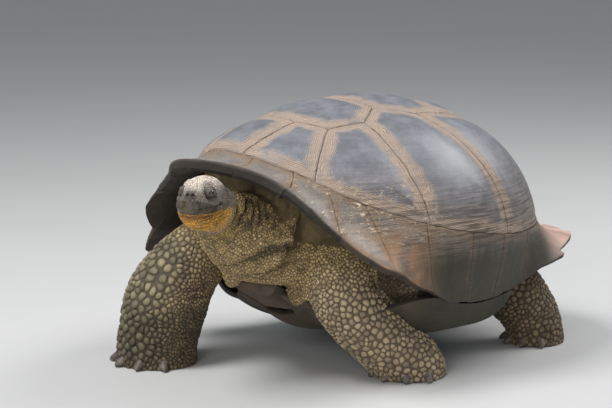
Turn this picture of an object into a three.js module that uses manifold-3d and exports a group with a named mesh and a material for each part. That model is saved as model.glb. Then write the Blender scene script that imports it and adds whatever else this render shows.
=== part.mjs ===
// Giant tortoise, life size, walking: left legs pushed back, right foreleg planted ahead,
// head turned to its left under the front rim of the shell.
// Millimetres. +Z up, the animal faces -Y and its left side is +X.
import * as THREE from 'three';
import { mergeVertices } from 'three/addons/utils/BufferGeometryUtils.js';
import Module from 'manifold-3d';

// ---- sizes -----------------------------------------------------------------------------
const SHELL_TOP = 681;         // height of the dome's top before the body leans
const PIVOT = new THREE.Vector3(0, 0, 350);
const BODY_PITCH = -2.2;       // degrees, front up
const BODY_ROLL = -3.0;        // degrees, left side up
const RIM_LEAN = 0.045;        // extra rise of the rim per unit of distance to the left
const SEAM_W = 0.785;          // chart radius of the seam between big plates and rim plates
const PLATE = 15;              // thickness of the big plates
const RIM_PLATE = 20;          // thickness of the rim plates
const FLARE_PLATE = 30;        // thickness of the front ones
const LODGE = 9;               // air between a plate and the flesh under it
const SCALLOP = 0.055;         // how far the front rim plates bow out between their seams
const BOW = 0.012;             // the same for the rim plates beside the bridge
const GROOVE = 1.5;            // half the width of a seam between plates
const DOME = 11;               // how far a big plate's middle stands proud of its edge
const CUT = 0.5;               // clearance where one solid is let into another
const EYE = 11.5;              // radius of the eyeball

// The dome, one row per bearing from the front: bearing, seam radius, seam height, slope at
// the seam, rim radius, rim height, slope at the rim. The two sides mirror each other.
const STATIONS = [
  [0, 468, 562, 46, 574, 546, -10],
  [26, 448, 512, 51, 522, 484, -3],
  [52, 452, 424, 65, 556, 296, 25],
  [80, 444, 359, 84, 431, 172, 96],
  [112, 447, 330, 90, 421, 169, 96],
  [146, 474, 344, 72, 562, 280, 16],
  [180, 472, 342, 55, 592, 298, 2],
];
// Bearings of the seams between rim plates, at the inner seam and at the rim.
const SEAM_CUTS = [0, 13, 27, 38, 50, 70, 88, 104, 121, 138, 155, 171];
const RIM_CUTS = [0, 14, 29, 44, 58, 71, 88, 104, 120, 137, 154, 171];
// The plastron: bearing, radius, height of its edge above its flat belly.
const BELLY = 82;
const PLASTRON = [
  [0, 366, 112], [16, 354, 106], [32, 326, 80], [48, 334, 68], [62, 392, 74], [76, 416, 78],
  [92, 414, 76], [112, 404, 74], [126, 372, 60], [150, 388, 36], [180, 410, 44],
];
const BRIDGE = [58, 80, 112, 128]; // bearings where the plastron wraps up to the rim plates
// Head: distance ahead of its middle, half width, height above, depth below.
const HEAD_AT = new THREE.Vector3(106, -612, 474);
const HEAD_YAW = 33;           // degrees to the animal's left
const HEAD_FORM = [
  [-84, 31, 30, 38], [-76, 45, 46, 52], [-52, 56, 60, 64], [-24, 61, 67, 66],
  [6, 61, 66, 64], [30, 54, 61, 58], [52, 44, 55, 49], [70, 33, 49, 38],
  [82, 22, 40, 26], [88, 10, 26, 12],
];
const MOUTH = 1;               // height of the mouth line in the head's own frame
const EYE_AT = [35, 33, 35];   // ahead, out, up in the head's own frame
// Limbs and neck: x, y, z, half width across, half width fore and aft.
const LIMBS = {
  foreleg_right: [
    [-120, -300, 326, 76, 86], [-182, -360, 298, 80, 90], [-208, -424, 246, 92, 95],
    [-220, -476, 168, 111, 106], [-229, -499, 78, 106, 102], [-232, -505, 26, 106, 103],
    [-232, -507, -30, 103, 100],
  ],
  foreleg_left: [
    [150, -226, 330, 80, 80], [204, -252, 278, 82, 84], [246, -270, 206, 79, 80],
    [278, -184, 112, 80, 82], [297, -114, 46, 84, 88], [302, -96, 14, 87, 92],
    [304, -88, -34, 85, 90],
  ],
  hindleg_left: [
    [120, 250, 300, 80, 80], [172, 300, 225, 88, 86], [212, 362, 150, 84, 84],
    [236, 414, 72, 76, 78], [242, 424, 22, 76, 80], [243, 424, -30, 74, 78],
  ],
  hindleg_right: [
    [-120, 250, 300, 80, 80], [-172, 240, 225, 88, 86], [-212, 220, 150, 84, 84],
    [-236, 202, 72, 76, 78], [-242, 196, 22, 76, 80], [-243, 194, -30, 74, 78],
  ],
};
const NECK = [
  [46, -210, 296, 196, 108], [42, -318, 322, 186, 104], [36, -406, 358, 136, 108],
  [56, -484, 404, 86, 88], [84, -544, 446, 64, 66], [100, -590, 466, 54, 54],
];
const CHEST_BACK = -318;       // where the neck's root ends inside the trunk's skin
const CHEST_FRONT = -410;      // where the chest meets the neck
const TAIL = [
  [0, 330, 230, 46, 46], [0, 400, 190, 40, 40], [-8, 452, 140, 26, 26], [-14, 474, 96, 9, 9],
];
const CLAWS = {
  foreleg_right: { count: 5, from: -78, to: 62, length: 27, width: 13 },
  foreleg_left: { count: 5, from: -62, to: 78, length: 27, width: 13 },
  hindleg_left: { count: 4, from: -52, to: 58, length: 25, width: 13 },
  hindleg_right: { count: 4, from: -58, to: 52, length: 25, width: 13 },
};

const COLOURS = {
  plate: [0x6f6f6c, 0.5], rim: [0x5b5248, 0.6], belly: [0x51493c, 0.7],
  skin: [0x6d6355, 0.8], chin: [0x9a8248, 0.8], beak: [0x3f3d33, 0.45],
  eye: [0x0c0a08, 0.1],
};

// ---- small helpers ---------------------------------------------------------------------
const rad = THREE.MathUtils.degToRad;
const smooth = (x, lo, hi) => THREE.MathUtils.smoothstep(x, lo, hi);

function curveThrough(rows, column, x, mirrored) {
  // Smooth value of one column at x, flat at both ends when the rows are mirrored there.
  const last = rows.length - 1;
  let i = 0;
  while (i < last - 1 && x > rows[i + 1][0]) {
    i += 1;
  }
  const at = (k) => {
    if (k < 0) {
      return mirrored ? [-rows[1][0], rows[1][column]] : [rows[0][0] - 1, rows[0][column]];
    }
    if (k > last) {
      const gap = rows[last][0] - rows[last - 1][0];
      const back = mirrored ? rows[last - 1][column] : rows[last][column];
      return [rows[last][0] + gap, back];
    }
    return [rows[k][0], rows[k][column]];
  };
  const [a, b, c, d] = [at(i - 1), at(i), at(i + 1), at(i + 2)];
  const h = c[0] - b[0];
  const t = THREE.MathUtils.clamp((x - b[0]) / h, 0, 1);
  const m1 = ((c[1] - a[1]) / (c[0] - a[0])) * h;
  const m2 = ((d[1] - b[1]) / (d[0] - b[0])) * h;
  return hermite(b[1], m1, c[1], m2, t);
}

function hermite(p0, m0, p1, m1, t) {
  const t2 = t * t;
  const t3 = t2 * t;
  return (2 * t3 - 3 * t2 + 1) * p0 + (t3 - 2 * t2 + t) * m0
    + (3 * t2 - 2 * t3) * p1 + (t3 - t2) * m1;
}

function lean(p) {
  // Pitch and roll of the shell and trunk about the pivot.
  return p.sub(PIVOT)
    .applyAxisAngle(new THREE.Vector3(1, 0, 0), rad(BODY_PITCH))
    .applyAxisAngle(new THREE.Vector3(0, 1, 0), rad(BODY_ROLL))
    .add(PIVOT);
}

function blob(seg, rows, place) {
  // A closed skin: place(row, turn) gives the point of each ring, poles are rows 0 and last.
  const geo = new THREE.SphereGeometry(1, seg, rows);
  const pos = geo.attributes.position;
  for (let r = 0; r <= rows; r += 1) {
    for (let s = 0; s <= seg; s += 1) {
      const p = place(r, s % seg);
      pos.setXYZ(r * (seg + 1) + s, p.x, p.y, p.z);
    }
  }
  geo.deleteAttribute('normal');
  geo.deleteAttribute('uv');
  const whole = mergeVertices(geo, 1e-4);
  if (volume(whole) < 0) {
    const ix = whole.index;
    for (let i = 0; i < ix.count; i += 3) {
      const keep = ix.getX(i);
      ix.setX(i, ix.getX(i + 1));
      ix.setX(i + 1, keep);
    }
  }
  return whole;
}

function volume(geo) {
  const p = geo.attributes.position;
  const ix = geo.index;
  const v = [new THREE.Vector3(), new THREE.Vector3(), new THREE.Vector3()];
  let sum = 0;
  for (let i = 0; i < ix.count; i += 3) {
    v.forEach((q, k) => q.fromBufferAttribute(p, ix.getX(i + k)));
    sum += v[0].dot(v[1].cross(v[2])) / 6;
  }
  return sum;
}

function grown(geo, by) {
  // The same solid with its surface moved out.
  const out = geo.clone();
  out.computeVertexNormals();
  const p = out.attributes.position;
  const n = out.attributes.normal;
  for (let i = 0; i < p.count; i += 1) {
    p.setXYZ(i, p.getX(i) + by * n.getX(i), p.getY(i) + by * n.getY(i), p.getZ(i) + by * n.getZ(i));
  }
  out.deleteAttribute('normal');
  return out;
}

// ---- booleans --------------------------------------------------------------------------
const wasm = await Module();
wasm.setup();

function solid(geo) {
  const g = geo.clone();
  g.deleteAttribute('normal');
  g.deleteAttribute('uv');
  const m = mergeVertices(g, 1e-4);
  return new wasm.Manifold(new wasm.Mesh({
    numProp: 3,
    vertProperties: new Float32Array(m.attributes.position.array),
    triVerts: new Uint32Array(m.index.array),
  }));
}

function largest(m) {
  // The biggest separate piece of a cut solid.
  const parts = m.decompose();
  return parts.reduce((a, b) => (b.volume() > a.volume() ? b : a));
}

function geometry(m) {
  const mesh = m.getMesh();
  const geo = new THREE.BufferGeometry();
  geo.setAttribute('position', new THREE.BufferAttribute(new Float32Array(mesh.vertProperties), 3));
  geo.setIndex(new THREE.BufferAttribute(new Uint32Array(mesh.triVerts), 1));
  return geo;
}

function block(w, d, h, x, y, z) {
  return solid(new THREE.BoxGeometry(w, d, h).translate(x, y, z));
}

// ---- the shell -------------------------------------------------------------------------
function dome(qx, qy) {
  // Point of the dome at a place of its chart, a unit disc seen from above.
  const w = Math.hypot(qx, qy);
  const turn = w < 1e-9 ? 0 : Math.atan2(qx, -qy);
  const bearing = Math.abs(THREE.MathUtils.radToDeg(turn));
  const [seamR, seamZ, seamT, rimR, rimZ, rimT] = [1, 2, 3, 4, 5, 6]
    .map((k) => curveThrough(STATIONS, k, bearing, true));
  const c = Math.cos(turn);
  let r;
  let z;
  if (w < SEAM_W) {
    const t = w / SEAM_W;
    const fall = (1.53 - 0.22 * c) * (SHELL_TOP - seamZ);
    r = hermite(0, (1.76 - 0.2 * c) * seamR, seamR, Math.cos(rad(seamT)) * fall, t);
    z = hermite(SHELL_TOP, 0, seamZ, -Math.sin(rad(seamT)) * fall, t);
  } else {
    const t = (w - SEAM_W) / (1 - SEAM_W);
    const run = 0.9 * Math.hypot(rimR - seamR, rimZ - seamZ);
    r = hermite(seamR, Math.cos(rad(seamT)) * run, rimR, Math.cos(rad(rimT)) * run, t);
    z = hermite(seamZ, -Math.sin(rad(seamT)) * run, rimZ, -Math.sin(rad(rimT)) * run, t);
  }
  const x = r * Math.sin(turn);
  return new THREE.Vector3(x, -r * c, z + RIM_LEAN * x * w * w * w);
}

function belly(qx, qy) {
  // Point of the plastron's under side on its own unit disc.
  const w = Math.hypot(qx, qy);
  const turn = w < 1e-9 ? 0 : Math.atan2(qx, -qy);
  const bearing = Math.abs(THREE.MathUtils.radToDeg(turn));
  const wrap = smooth(bearing, BRIDGE[0], BRIDGE[1]) * (1 - smooth(bearing, BRIDGE[2], BRIDGE[3]));
  const met = (low, column, inset) => {
    const rim = curveThrough(STATIONS, column, bearing, true) - inset;
    return low + wrap * (rim - low);
  };
  const reach = met(curveThrough(PLASTRON, 1, bearing, true), 4, 3);
  const high = met(curveThrough(PLASTRON, 2, bearing, true), 5, BELLY + 4);
  const bow = Math.PI * Math.max(0, w - 0.5);
  const round = w < 0.5 ? 1.2 * w : 0.6 + 0.4 * Math.sin(bow);
  const r = reach * (w + wrap * (round - w));
  const dish = smooth(w, 0.5, 1.12) / 0.93;
  const rise = high * (dish + wrap * (1 - Math.cos(bow) - dish));
  const x = r * Math.sin(turn);
  return new THREE.Vector3(x, -r * Math.cos(turn), BELLY + rise + RIM_LEAN * x * w * w);
}

function offset(surface, qx, qy, by) {
  const e = 0.004;
  const du = surface(qx + e, qy).sub(surface(qx - e, qy));
  const dv = surface(qx, qy + e).sub(surface(qx, qy - e));
  return surface(qx, qy).addScaledVector(du.cross(dv).normalize(), by);
}

const polar = (bearing, w) => [w * Math.sin(rad(bearing)), -w * Math.cos(rad(bearing))];

function outline(corners) {
  // Corners are [bearing, w, steps to the next]. Arcs of one w follow the ring.
  const ring = [];
  corners.forEach(([bearing, w, steps], i) => {
    const next = corners[(i + 1) % corners.length];
    const arc = Math.abs(next[1] - w) < 0.09 && w > 0.7;
    for (let k = 0; k < steps; k += 1) {
      const t = k / steps;
      if (arc) {
        ring.push(polar(bearing + t * (next[0] - bearing), w + t * (next[1] - w)));
      } else {
        const [ax, ay] = polar(bearing, w);
        const [bx, by] = polar(next[0], next[1]);
        ring.push([ax + t * (bx - ax), ay + t * (by - ay)]);
      }
    }
  });
  return ring;
}

function plate(surface, corners, layers, out) {
  // layers are [share of the way to the edge, height over the surface], top to bottom.
  const ring = outline(corners);
  const mid = ring.reduce((s, p) => [s[0] + p[0] / ring.length, s[1] + p[1] / ring.length], [0, 0]);
  const inset = GROOVE / 450;
  return blob(ring.length, layers.length - 1, (row, s) => {
    const [share, height] = layers[row];
    const dx = ring[s][0] - mid[0];
    const dy = ring[s][1] - mid[1];
    const pull = 1 - inset / Math.hypot(dx, dy) * 1.25;
    const qx = mid[0] + dx * share * pull;
    const qy = mid[1] + dy * share * pull;
    return lean(offset(surface, qx, qy, out * height));
  });
}

const BIG = [
  [0, DOME], [0.5, DOME * 0.8], [0.88, DOME * 0.25], [1, -3], [1, -PLATE], [0.5, -PLATE],
  [0, -PLATE],
];
const rimLayers = (deep) => [[0, 3], [0.62, 2], [1, -3], [1, -deep], [0, -deep]];
const RIM = rimLayers(RIM_PLATE);
const UNDER = [[0, 2], [0.62, 2], [1, -2], [1, -16], [0.6, -16], [0, -16]];
const GULAR = [[0, 6], [0.62, 4], [0.92, -5], [1, -17], [0.92, -30], [0.6, -38], [0, -38]];

const pieces = [];
function add(name, geo, look) {
  const [colour, roughness] = COLOURS[look];
  const material = new THREE.MeshStandardMaterial({ color: colour, roughness, metalness: 0 });
  geo.computeVertexNormals();
  const mesh = new THREE.Mesh(geo, material);
  mesh.name = name;
  pieces.push(mesh);
  return geo;
}

const flip = (corners) => corners.map(([b, w], i) => {
  // The mirrored plate, walked the same way round.
  const prev = corners[(i + corners.length - 1) % corners.length];
  return [-b, w, prev[2]];
}).reverse();

// Corners shared by the plates of the left side.
const V1_FRONT = [9, SEAM_W];
const V12 = [15, 0.385];
const J1 = [32, 0.39];
const J2 = [51, 0.3];
const J3 = [60, 0.178];
const V3_SIDE = [93, 0.225];
const V34 = [118, 0.235];
const V45 = [161, 0.44];
const V5_REAR = [152, SEAM_W];
const C12 = [34, SEAM_W];
const C23 = [72, SEAM_W];
const C34 = [106, SEAM_W];
const both = (...list) => list.map(([b, w]) => [-b, w]).reverse();

function stepped(points, steps) {
  return points.map((p, i) => [p[0], p[1], Array.isArray(steps) ? steps[i] : steps]);
}

const VERTEBRALS = [
  stepped([V1_FRONT, V12, ...both(V1_FRONT, V12)], [4, 4, 4, 3]),
  stepped([V12, J1, J2, J3, ...both(V12, J1, J2, J3)], [2, 2, 2, 4, 2, 2, 2, 2]),
  stepped([J3, V3_SIDE, V34, ...both(J3, V3_SIDE, V34)], [3, 2, 4, 2, 3, 4]),
  stepped([V34, V45, ...both(V34, V45)], [4, 4, 4, 4]),
  stepped([V45, V5_REAR, [-V5_REAR[0] + 360, SEAM_W], [-V45[0] + 360, V45[1]]], [4, 4, 4, 4]),
];
const COSTALS = [
  stepped([V1_FRONT, C12, J1, V12], [4, 4, 2, 4]),
  stepped([J1, C12, C23, J2], [4, 5, 5, 2]),
  stepped([J2, C23, C34, V3_SIDE, J3], [5, 4, 5, 3, 1]),
  stepped([V3_SIDE, C34, V5_REAR, V45, V34], [5, 5, 4, 4, 1]),
];

VERTEBRALS.forEach((corners, i) => {
  add(`vertebral_${i + 1}`, plate(dome, corners, BIG, 1), 'plate');
});
COSTALS.forEach((corners, i) => {
  add(`costal_left_${i + 1}`, plate(dome, corners, BIG, 1), 'plate');
  add(`costal_right_${i + 1}`, plate(dome, flip(corners), BIG, 1), 'plate');
});

function rimReach(bearing, share) {
  // How far a rim plate runs past the plain rim: stepped behind the front flare and drawn
  // out to a point at the rear corner of each plate.
  const step = bearing > 28.5 ? 0.055 * Math.exp(-(bearing - 28.5) / 7) : 0;
  const point = smooth(bearing, 118, 140) * 0.045 * share * share;
  const depth = bearing < 60 ? SCALLOP : BOW;
  const bow = bearing > 28.5 && bearing < 80 ? depth * Math.sin(Math.PI * share) : 0;
  return 1 + step + point + bow;
}

for (let i = 0; i < 11; i += 1) {
  const [a, b] = [SEAM_CUTS[i], SEAM_CUTS[i + 1]];
  const [c, d] = [RIM_CUTS[i], RIM_CUTS[i + 1]];
  const corners = [
    [a, SEAM_W, 3], [b, SEAM_W, 2], [d, rimReach(d, 1), 2],
    [(c + d) / 2, rimReach((c + d) / 2, 0.4), 2], [c, rimReach(c + 0.6, 0), 2],
  ];
  const layers = i < 2 ? rimLayers(FLARE_PLATE) : RIM;
  add(`marginal_left_${i + 1}`, plate(dome, corners, layers, 1), 'rim');
  add(`marginal_right_${i + 1}`, plate(dome, flip(corners), layers, 1), 'rim');
}
add('supracaudal', plate(dome, [
  [171, SEAM_W, 3], [189, SEAM_W, 2], [189, 1.01, 2], [180, 0.99, 2], [171, 1.01, 2],
], RIM, 1), 'rim');

const UNDERSIDE = {
  gular: [[-14, 1.06, 4], [14, 1.06, 3], [12, 0.78, 3], [-12, 0.78, 3]],
  front: [[14, 1, 8], [83, 1, 6], [0, 0.22, 3], [0, 0.75, 1], [12, 0.78, 3]],
  middle: [[83, 1, 4], [110, 1, 8], [180, 0.3, 3], [0, 0.22, 6]],
  rear: [[110, 1, 6], [180, 1, 4], [180, 0.3, 8]],
};
const gular = add('plastron_gular', plate(belly, UNDERSIDE.gular, GULAR, -1), 'belly');
let fitted = pieces.filter((m) => /^marginal_\w+_[56]$/.test(m.name))
  .map((m) => solid(grown(m.geometry, 1)))
  .reduce((a, b) => a.add(b));
const floorPlates = ['front', 'middle', 'rear'].flatMap((key) => {
  const [left, right] = [UNDERSIDE[key], flip(UNDERSIDE[key])]
    .map((corners) => largest(solid(plate(belly, corners, UNDER, -1)).subtract(fitted)));
  add(`plastron_${key}_left`, geometry(left), 'belly');
  add(`plastron_${key}_right`, geometry(right), 'belly');
  const pair = [left, right].map((half) => solid(grown(geometry(half), 1)).add(half));
  fitted = fitted.add(pair[0]).add(pair[1]);
  return pair;
}).reduce((a, b) => a.add(b));

// ---- flesh -----------------------------------------------------------------------------
function trunkAt(bearing, k) {
  // Rows of the trunk from the dome's top down the side to the middle of the belly.
  const b = Math.abs(bearing);
  const [tops, sides, lows] = [[0, 0.2, 0.4, 0.6, 0.74], [0, 0.3, 0.6, 0.9], [0.9, 0.6, 0.3, 0]];
  if (k < tops.length) {
    const [x, y] = polar(bearing, tops[k]);
    return offset(dome, x, y, -PLATE - LODGE);
  }
  const lip = 0.93 - 0.18 * (1 - smooth(b, 8, 24)) - 0.06 * smooth(b, 60, 80);
  const under = (w) => {
    const [x, y] = polar(bearing, w);
    return offset(belly, x, y, 16 + LODGE);
  };
  if (k < tops.length + sides.length) {
    const t = sides[k - tops.length];
    const [x, y] = polar(bearing, SEAM_W + (1 - SEAM_W) * 0.86 * t);
    const walled = offset(dome, x, y, -RIM_PLATE - LODGE - 2);
    const [sx, sy] = polar(bearing, SEAM_W - 0.01);
    const top = offset(dome, sx, sy, -FLARE_PLATE - LODGE);
    const foot = under(lip);
    const open = top.clone().lerp(foot, t * t * (1.4 - 0.4 * t));
    const slack = 1 - 0.05 * Math.sin(Math.PI * t);
    open.x *= slack;
    open.y *= slack;
    const bridge = smooth(b, 58, 72) * (1 - smooth(b, 112, 124));
    return open.lerp(walled, bridge);
  }
  return under(Math.min(lip, lows[k - tops.length - sides.length]));
}

const TRUNK_SEG = 24;
const TRUNK_ROWS = 12;
const trunkWhole = blob(TRUNK_SEG, TRUNK_ROWS, (row, s) => {
  const bearing = (s / TRUNK_SEG) * 360;
  return lean(trunkAt(bearing > 180 ? bearing - 360 : bearing, row));
});
const underPlates = floorPlates.add(solid(grown(gular, 2)));
const trunk = geometry(largest(solid(trunkWhole).subtract(underPlates)));
add('trunk', trunk, 'skin');

const CASE_ROWS = [
  [0, 10], [0.4, 10], [0.785, 10], [1.08, 8], [1.08, -34],
  [0.9, -FLARE_PLATE - LODGE], [0.76, -FLARE_PLATE - LODGE], [0.4, -PLATE - LODGE - 5],
  [0, -PLATE - LODGE - 5],
];
const CASE_SEG = 30;
const shellCase = solid(blob(CASE_SEG, CASE_ROWS.length - 1, (row, s) => {
  const [x, y] = polar((s / CASE_SEG) * 360, CASE_ROWS[row][0]);
  return lean(offset(dome, x, y, CASE_ROWS[row][1]));
}));
const UNDER_ROWS = [
  [0, 29], [0.5, 29], [0.75, 28], [0.9, 27], [1.04, 26],
  [1.04, -9], [0.9, -9], [0.75, -9], [0.5, -9], [0, -9],
];
const bellyCase = solid(blob(CASE_SEG, UNDER_ROWS.length - 1, (row, s) => {
  const [x, y] = polar((s / CASE_SEG) * 360, UNDER_ROWS[row][0]);
  return lean(offset(belly, x, y, UNDER_ROWS[row][1]));
}));
const armour = shellCase.add(bellyCase).add(solid(grown(gular, 4)));

function limb(rows, seg, shape) {
  // A tube through the rows, round at its first end, its sections square to its path.
  const path = new THREE.CatmullRomCurve3(rows.map((r) => new THREE.Vector3(r[0], r[1], r[2])));
  const steps = rows.length + 3;
  const side = new THREE.Vector3();
  return blob(seg, steps + 1, (row, s) => {
    const t = THREE.MathUtils.clamp((row - 1) / (steps - 1), 0, 1);
    const at = path.getPoint(t);
    const ends = row === 0 || row === steps + 1 ? 0 : 1;
    const along = path.getTangent(t);
    side.crossVectors(along, new THREE.Vector3(0, -1, 0.35)).normalize();
    const front = new THREE.Vector3().crossVectors(side, along).normalize();
    const k = t * (rows.length - 1);
    const table = rows.map((r, i) => [i, r[3], r[4]]);
    const across = curveThrough(table, 1, k, false) * ends;
    const deep = curveThrough(table, 2, k, false) * ends;
    const turn = (s / seg) * Math.PI * 2;
    const swell = shape ? shape(t, turn) : 1;
    return at.clone()
      .addScaledVector(side, across * Math.cos(turn) * swell)
      .addScaledVector(front, deep * Math.sin(turn) * swell);
  });
}

function headPoint(ahead, out, up) {
  // A place in the head's own frame, in the body's frame.
  const yaw = rad(HEAD_YAW);
  return new THREE.Vector3(
    HEAD_AT.x + ahead * Math.sin(yaw) + out * Math.cos(yaw),
    HEAD_AT.y - ahead * Math.cos(yaw) + out * Math.sin(yaw),
    HEAD_AT.z + up,
  );
}

const HEAD_SEG = 18;
const headWhole = blob(HEAD_SEG, HEAD_FORM.length + 1, (row, s) => {
  const i = THREE.MathUtils.clamp(row - 1, 0, HEAD_FORM.length - 1);
  const [ahead, wide, high, low] = HEAD_FORM[i];
  const end = row === 0 || row === HEAD_FORM.length + 1 ? 0 : 1;
  const turn = (s / HEAD_SEG) * Math.PI * 2;
  const c = Math.cos(turn);
  const n = Math.sin(turn);
  const out = wide * Math.sign(c) * Math.abs(c) ** 0.86 * (n > 0 ? 1 - 0.14 * n : 1);
  const up = (n > 0 ? high : low) * Math.sign(n) * Math.abs(n) ** 0.9;
  const mid = end ? 0 : 6;
  return headPoint(ahead + (row === 0 ? -4 : 0) + (row > HEAD_FORM.length ? 2 : 0),
    out * end, up * end + mid);
});

const neckWhole = limb(NECK, 13);
const trunkGrown = solid(grown(trunk, CUT)).add(solid(trunk));
const headGrown = solid(grown(headWhole, CUT));
const eyes = ['left', 'right'].map((name, i) => {
  const at = headPoint(EYE_AT[0], (i ? -1 : 1) * EYE_AT[1], EYE_AT[2]);
  const ball = (r) => mergeVertices(
    new THREE.SphereGeometry(r, 10, 6).deleteAttribute('uv').deleteAttribute('normal'), 1e-4,
  ).translate(at.x, at.y, at.z);
  return { name: `eye_${name}`, geo: ball(EYE), hole: solid(ball(EYE + CUT)) };
});

const headYaw = rad(HEAD_YAW);
function headBlock(l, w, h, ahead, out, up) {
  const at = headPoint(ahead, out, up);
  return solid(new THREE.BoxGeometry(w, l, h).rotateZ(headYaw).translate(at.x, at.y, at.z));
}

let skull = solid(headWhole);
eyes.forEach((eye) => {
  skull = skull.subtract(eye.hole);
});
const jawSpace = headBlock(140, 200, 120, 58, 0, MOUTH - 60);
const gap = headBlock(140 + CUT, 200, 120 + CUT, 58, 0, MOUTH - 60);
const beakSpace = headBlock(60, 120, 26, 82, 0, MOUTH + 13);
const beakGap = headBlock(60 + CUT, 120, 26 + CUT, 82, 0, MOUTH + 13);
const lowBeak = headBlock(60, 120, 16, 82, 0, MOUTH - 8);
const lowBeakGap = headBlock(60 + CUT, 120, 16 + CUT, 82, 0, MOUTH - 8);
const whole = solid(headWhole);
add('head', geometry(largest(skull.subtract(gap).subtract(beakGap))), 'skin');
add('upper_beak', geometry(largest(whole.intersect(beakSpace.subtract(gap)))), 'beak');
add('lower_jaw', geometry(largest(whole.intersect(jawSpace).subtract(lowBeakGap))), 'chin');
add('lower_beak', geometry(largest(whole.intersect(lowBeak.intersect(jawSpace)))), 'beak');
eyes.forEach((eye) => add(eye.name, eye.geo, 'eye'));

const neckRoot = block(1200, 400, 1200, 0, CHEST_BACK + 200, 400);
const neckFree = solid(neckWhole).subtract(neckRoot);
const neckAll = largest(neckFree.subtract(trunkGrown).subtract(headGrown).subtract(armour));
const chestSpace = block(1200, 400, 1200, 0, CHEST_FRONT + 200, 400);
const chestGap = block(1200, 400, 1200, 0, CHEST_FRONT + 200 - CUT, 400);
const chest = largest(neckAll.intersect(chestSpace));
const neck = largest(neckAll.subtract(chestGap));
add('chest', geometry(chest), 'skin');
add('neck', geometry(neck), 'skin');
const neckGrown = solid(grown(geometry(neckFree), CUT)).add(solid(grown(geometry(neckAll), CUT)))
  .add(neckAll);

const ground = block(2400, 2400, 400, 0, 0, -200);
Object.entries(LIMBS).forEach(([name, rows]) => {
  let leg = solid(limb(rows, 13));
  const foot = rows[rows.length - 2];
  const { count, from, to, length, width } = CLAWS[name];
  for (let i = 0; i < count; i += 1) {
    const bearing = from + ((to - from) * i) / (count - 1);
    const turn = rad(bearing);
    const claw = new THREE.ConeGeometry(width, length * 1.5, 6, 1)
      .rotateX(Math.PI)
      .scale(1, 1, 1.2)
      .rotateX(rad(14))
      .translate(0, -foot[4] - length * 0.1, width + 4)
      .rotateZ(turn)
      .scale(foot[3] / foot[4], 1, 1)
      .translate(foot[0], foot[1], 0);
    leg = leg.add(solid(claw));
  }
  leg = leg.subtract(ground).subtract(trunkGrown).subtract(neckGrown).subtract(armour)
    .subtract(floorPlates);
  add(name, geometry(largest(leg)), 'skin');
});

const tail = solid(limb(TAIL, 10)).subtract(trunkGrown).subtract(armour);
add('tail', geometry(largest(tail)), 'skin');

// ---- into the row's frame --------------------------------------------------------------
const box = new THREE.Box3();
pieces.forEach((m) => {
  m.geometry.computeBoundingBox();
  box.union(m.geometry.boundingBox);
});
const centre = box.getCenter(new THREE.Vector3());
const group = new THREE.Group();
group.name = 'giant_tortoise';
pieces.forEach((m) => {
  m.geometry.translate(-centre.x, -centre.y, -box.min.z);
  group.add(m);
});

export default group;
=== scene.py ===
"""Giant tortoise, life size and standing still in mid stride.

Horn plates, one skin with its folds and lids, the scales on it, beaks, claws and eyes, built in
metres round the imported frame. +Z is up, the animal faces -Y and its left side is +X.
"""

import itertools
import logging
import math
from dataclasses import dataclass, field
from enum import Enum
from typing import Callable, Iterable

import bmesh
import bpy
import numpy as np
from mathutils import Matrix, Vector
from mathutils.bvhtree import BVHTree
from mathutils.kdtree import KDTree


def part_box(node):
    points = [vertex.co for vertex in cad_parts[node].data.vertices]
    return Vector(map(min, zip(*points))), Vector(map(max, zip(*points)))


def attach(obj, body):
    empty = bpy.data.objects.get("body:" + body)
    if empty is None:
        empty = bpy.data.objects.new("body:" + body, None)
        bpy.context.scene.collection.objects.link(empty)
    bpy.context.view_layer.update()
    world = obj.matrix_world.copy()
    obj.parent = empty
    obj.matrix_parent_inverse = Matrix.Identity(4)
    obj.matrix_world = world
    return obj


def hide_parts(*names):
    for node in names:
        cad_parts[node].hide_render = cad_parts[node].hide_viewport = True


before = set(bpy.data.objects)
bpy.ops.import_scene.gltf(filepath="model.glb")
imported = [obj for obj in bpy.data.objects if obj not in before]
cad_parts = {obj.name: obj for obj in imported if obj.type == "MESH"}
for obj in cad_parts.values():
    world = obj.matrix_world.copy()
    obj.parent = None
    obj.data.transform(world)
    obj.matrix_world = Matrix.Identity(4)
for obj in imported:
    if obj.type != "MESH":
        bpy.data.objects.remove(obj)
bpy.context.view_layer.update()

LOG = logging.getLogger("tortoise")
MM = 0.001
BODY = "root"
Array = np.ndarray
Object, Mesh = bpy.types.Object, bpy.types.Mesh
Material, Node = bpy.types.Material, bpy.types.Node
Colour = tuple[float, float, float]


# ---- numbers and noise -----------------------------------------------------------------------
def smoothstep(x: Array | float, low: float, high: float) -> Array:
    """Rises smoothly from 0 at low to 1 at high."""
    t = np.clip((np.asarray(x, float) - low) / (high - low), 0.0, 1.0)
    return t * t * (3.0 - 2.0 * t)


def bump(x: Array, middle: float, width: float) -> Array:
    """A soft hump of height 1 at middle, about width to each side."""
    return np.exp(-(((np.asarray(x, float) - middle) / width) ** 2))


def hermite(p0: Array, m0: Array, p1: Array, m1: Array, t: Array) -> Array:
    """Cubic through two values with given slopes.

    Args:
        p0: values at the start.
        m0: slopes there.
        p1: values at the end.
        m1: slopes there.
        t: how far along, from 0 to 1.

    Returns:
        The values there.
    """
    t2, t3 = t * t, t * t * t
    return (
        (2 * t3 - 3 * t2 + 1) * p0
        + (t3 - 2 * t2 + t) * m0
        + (3 * t2 - 2 * t3) * p1
        + (t3 - t2) * m1
    )


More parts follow.
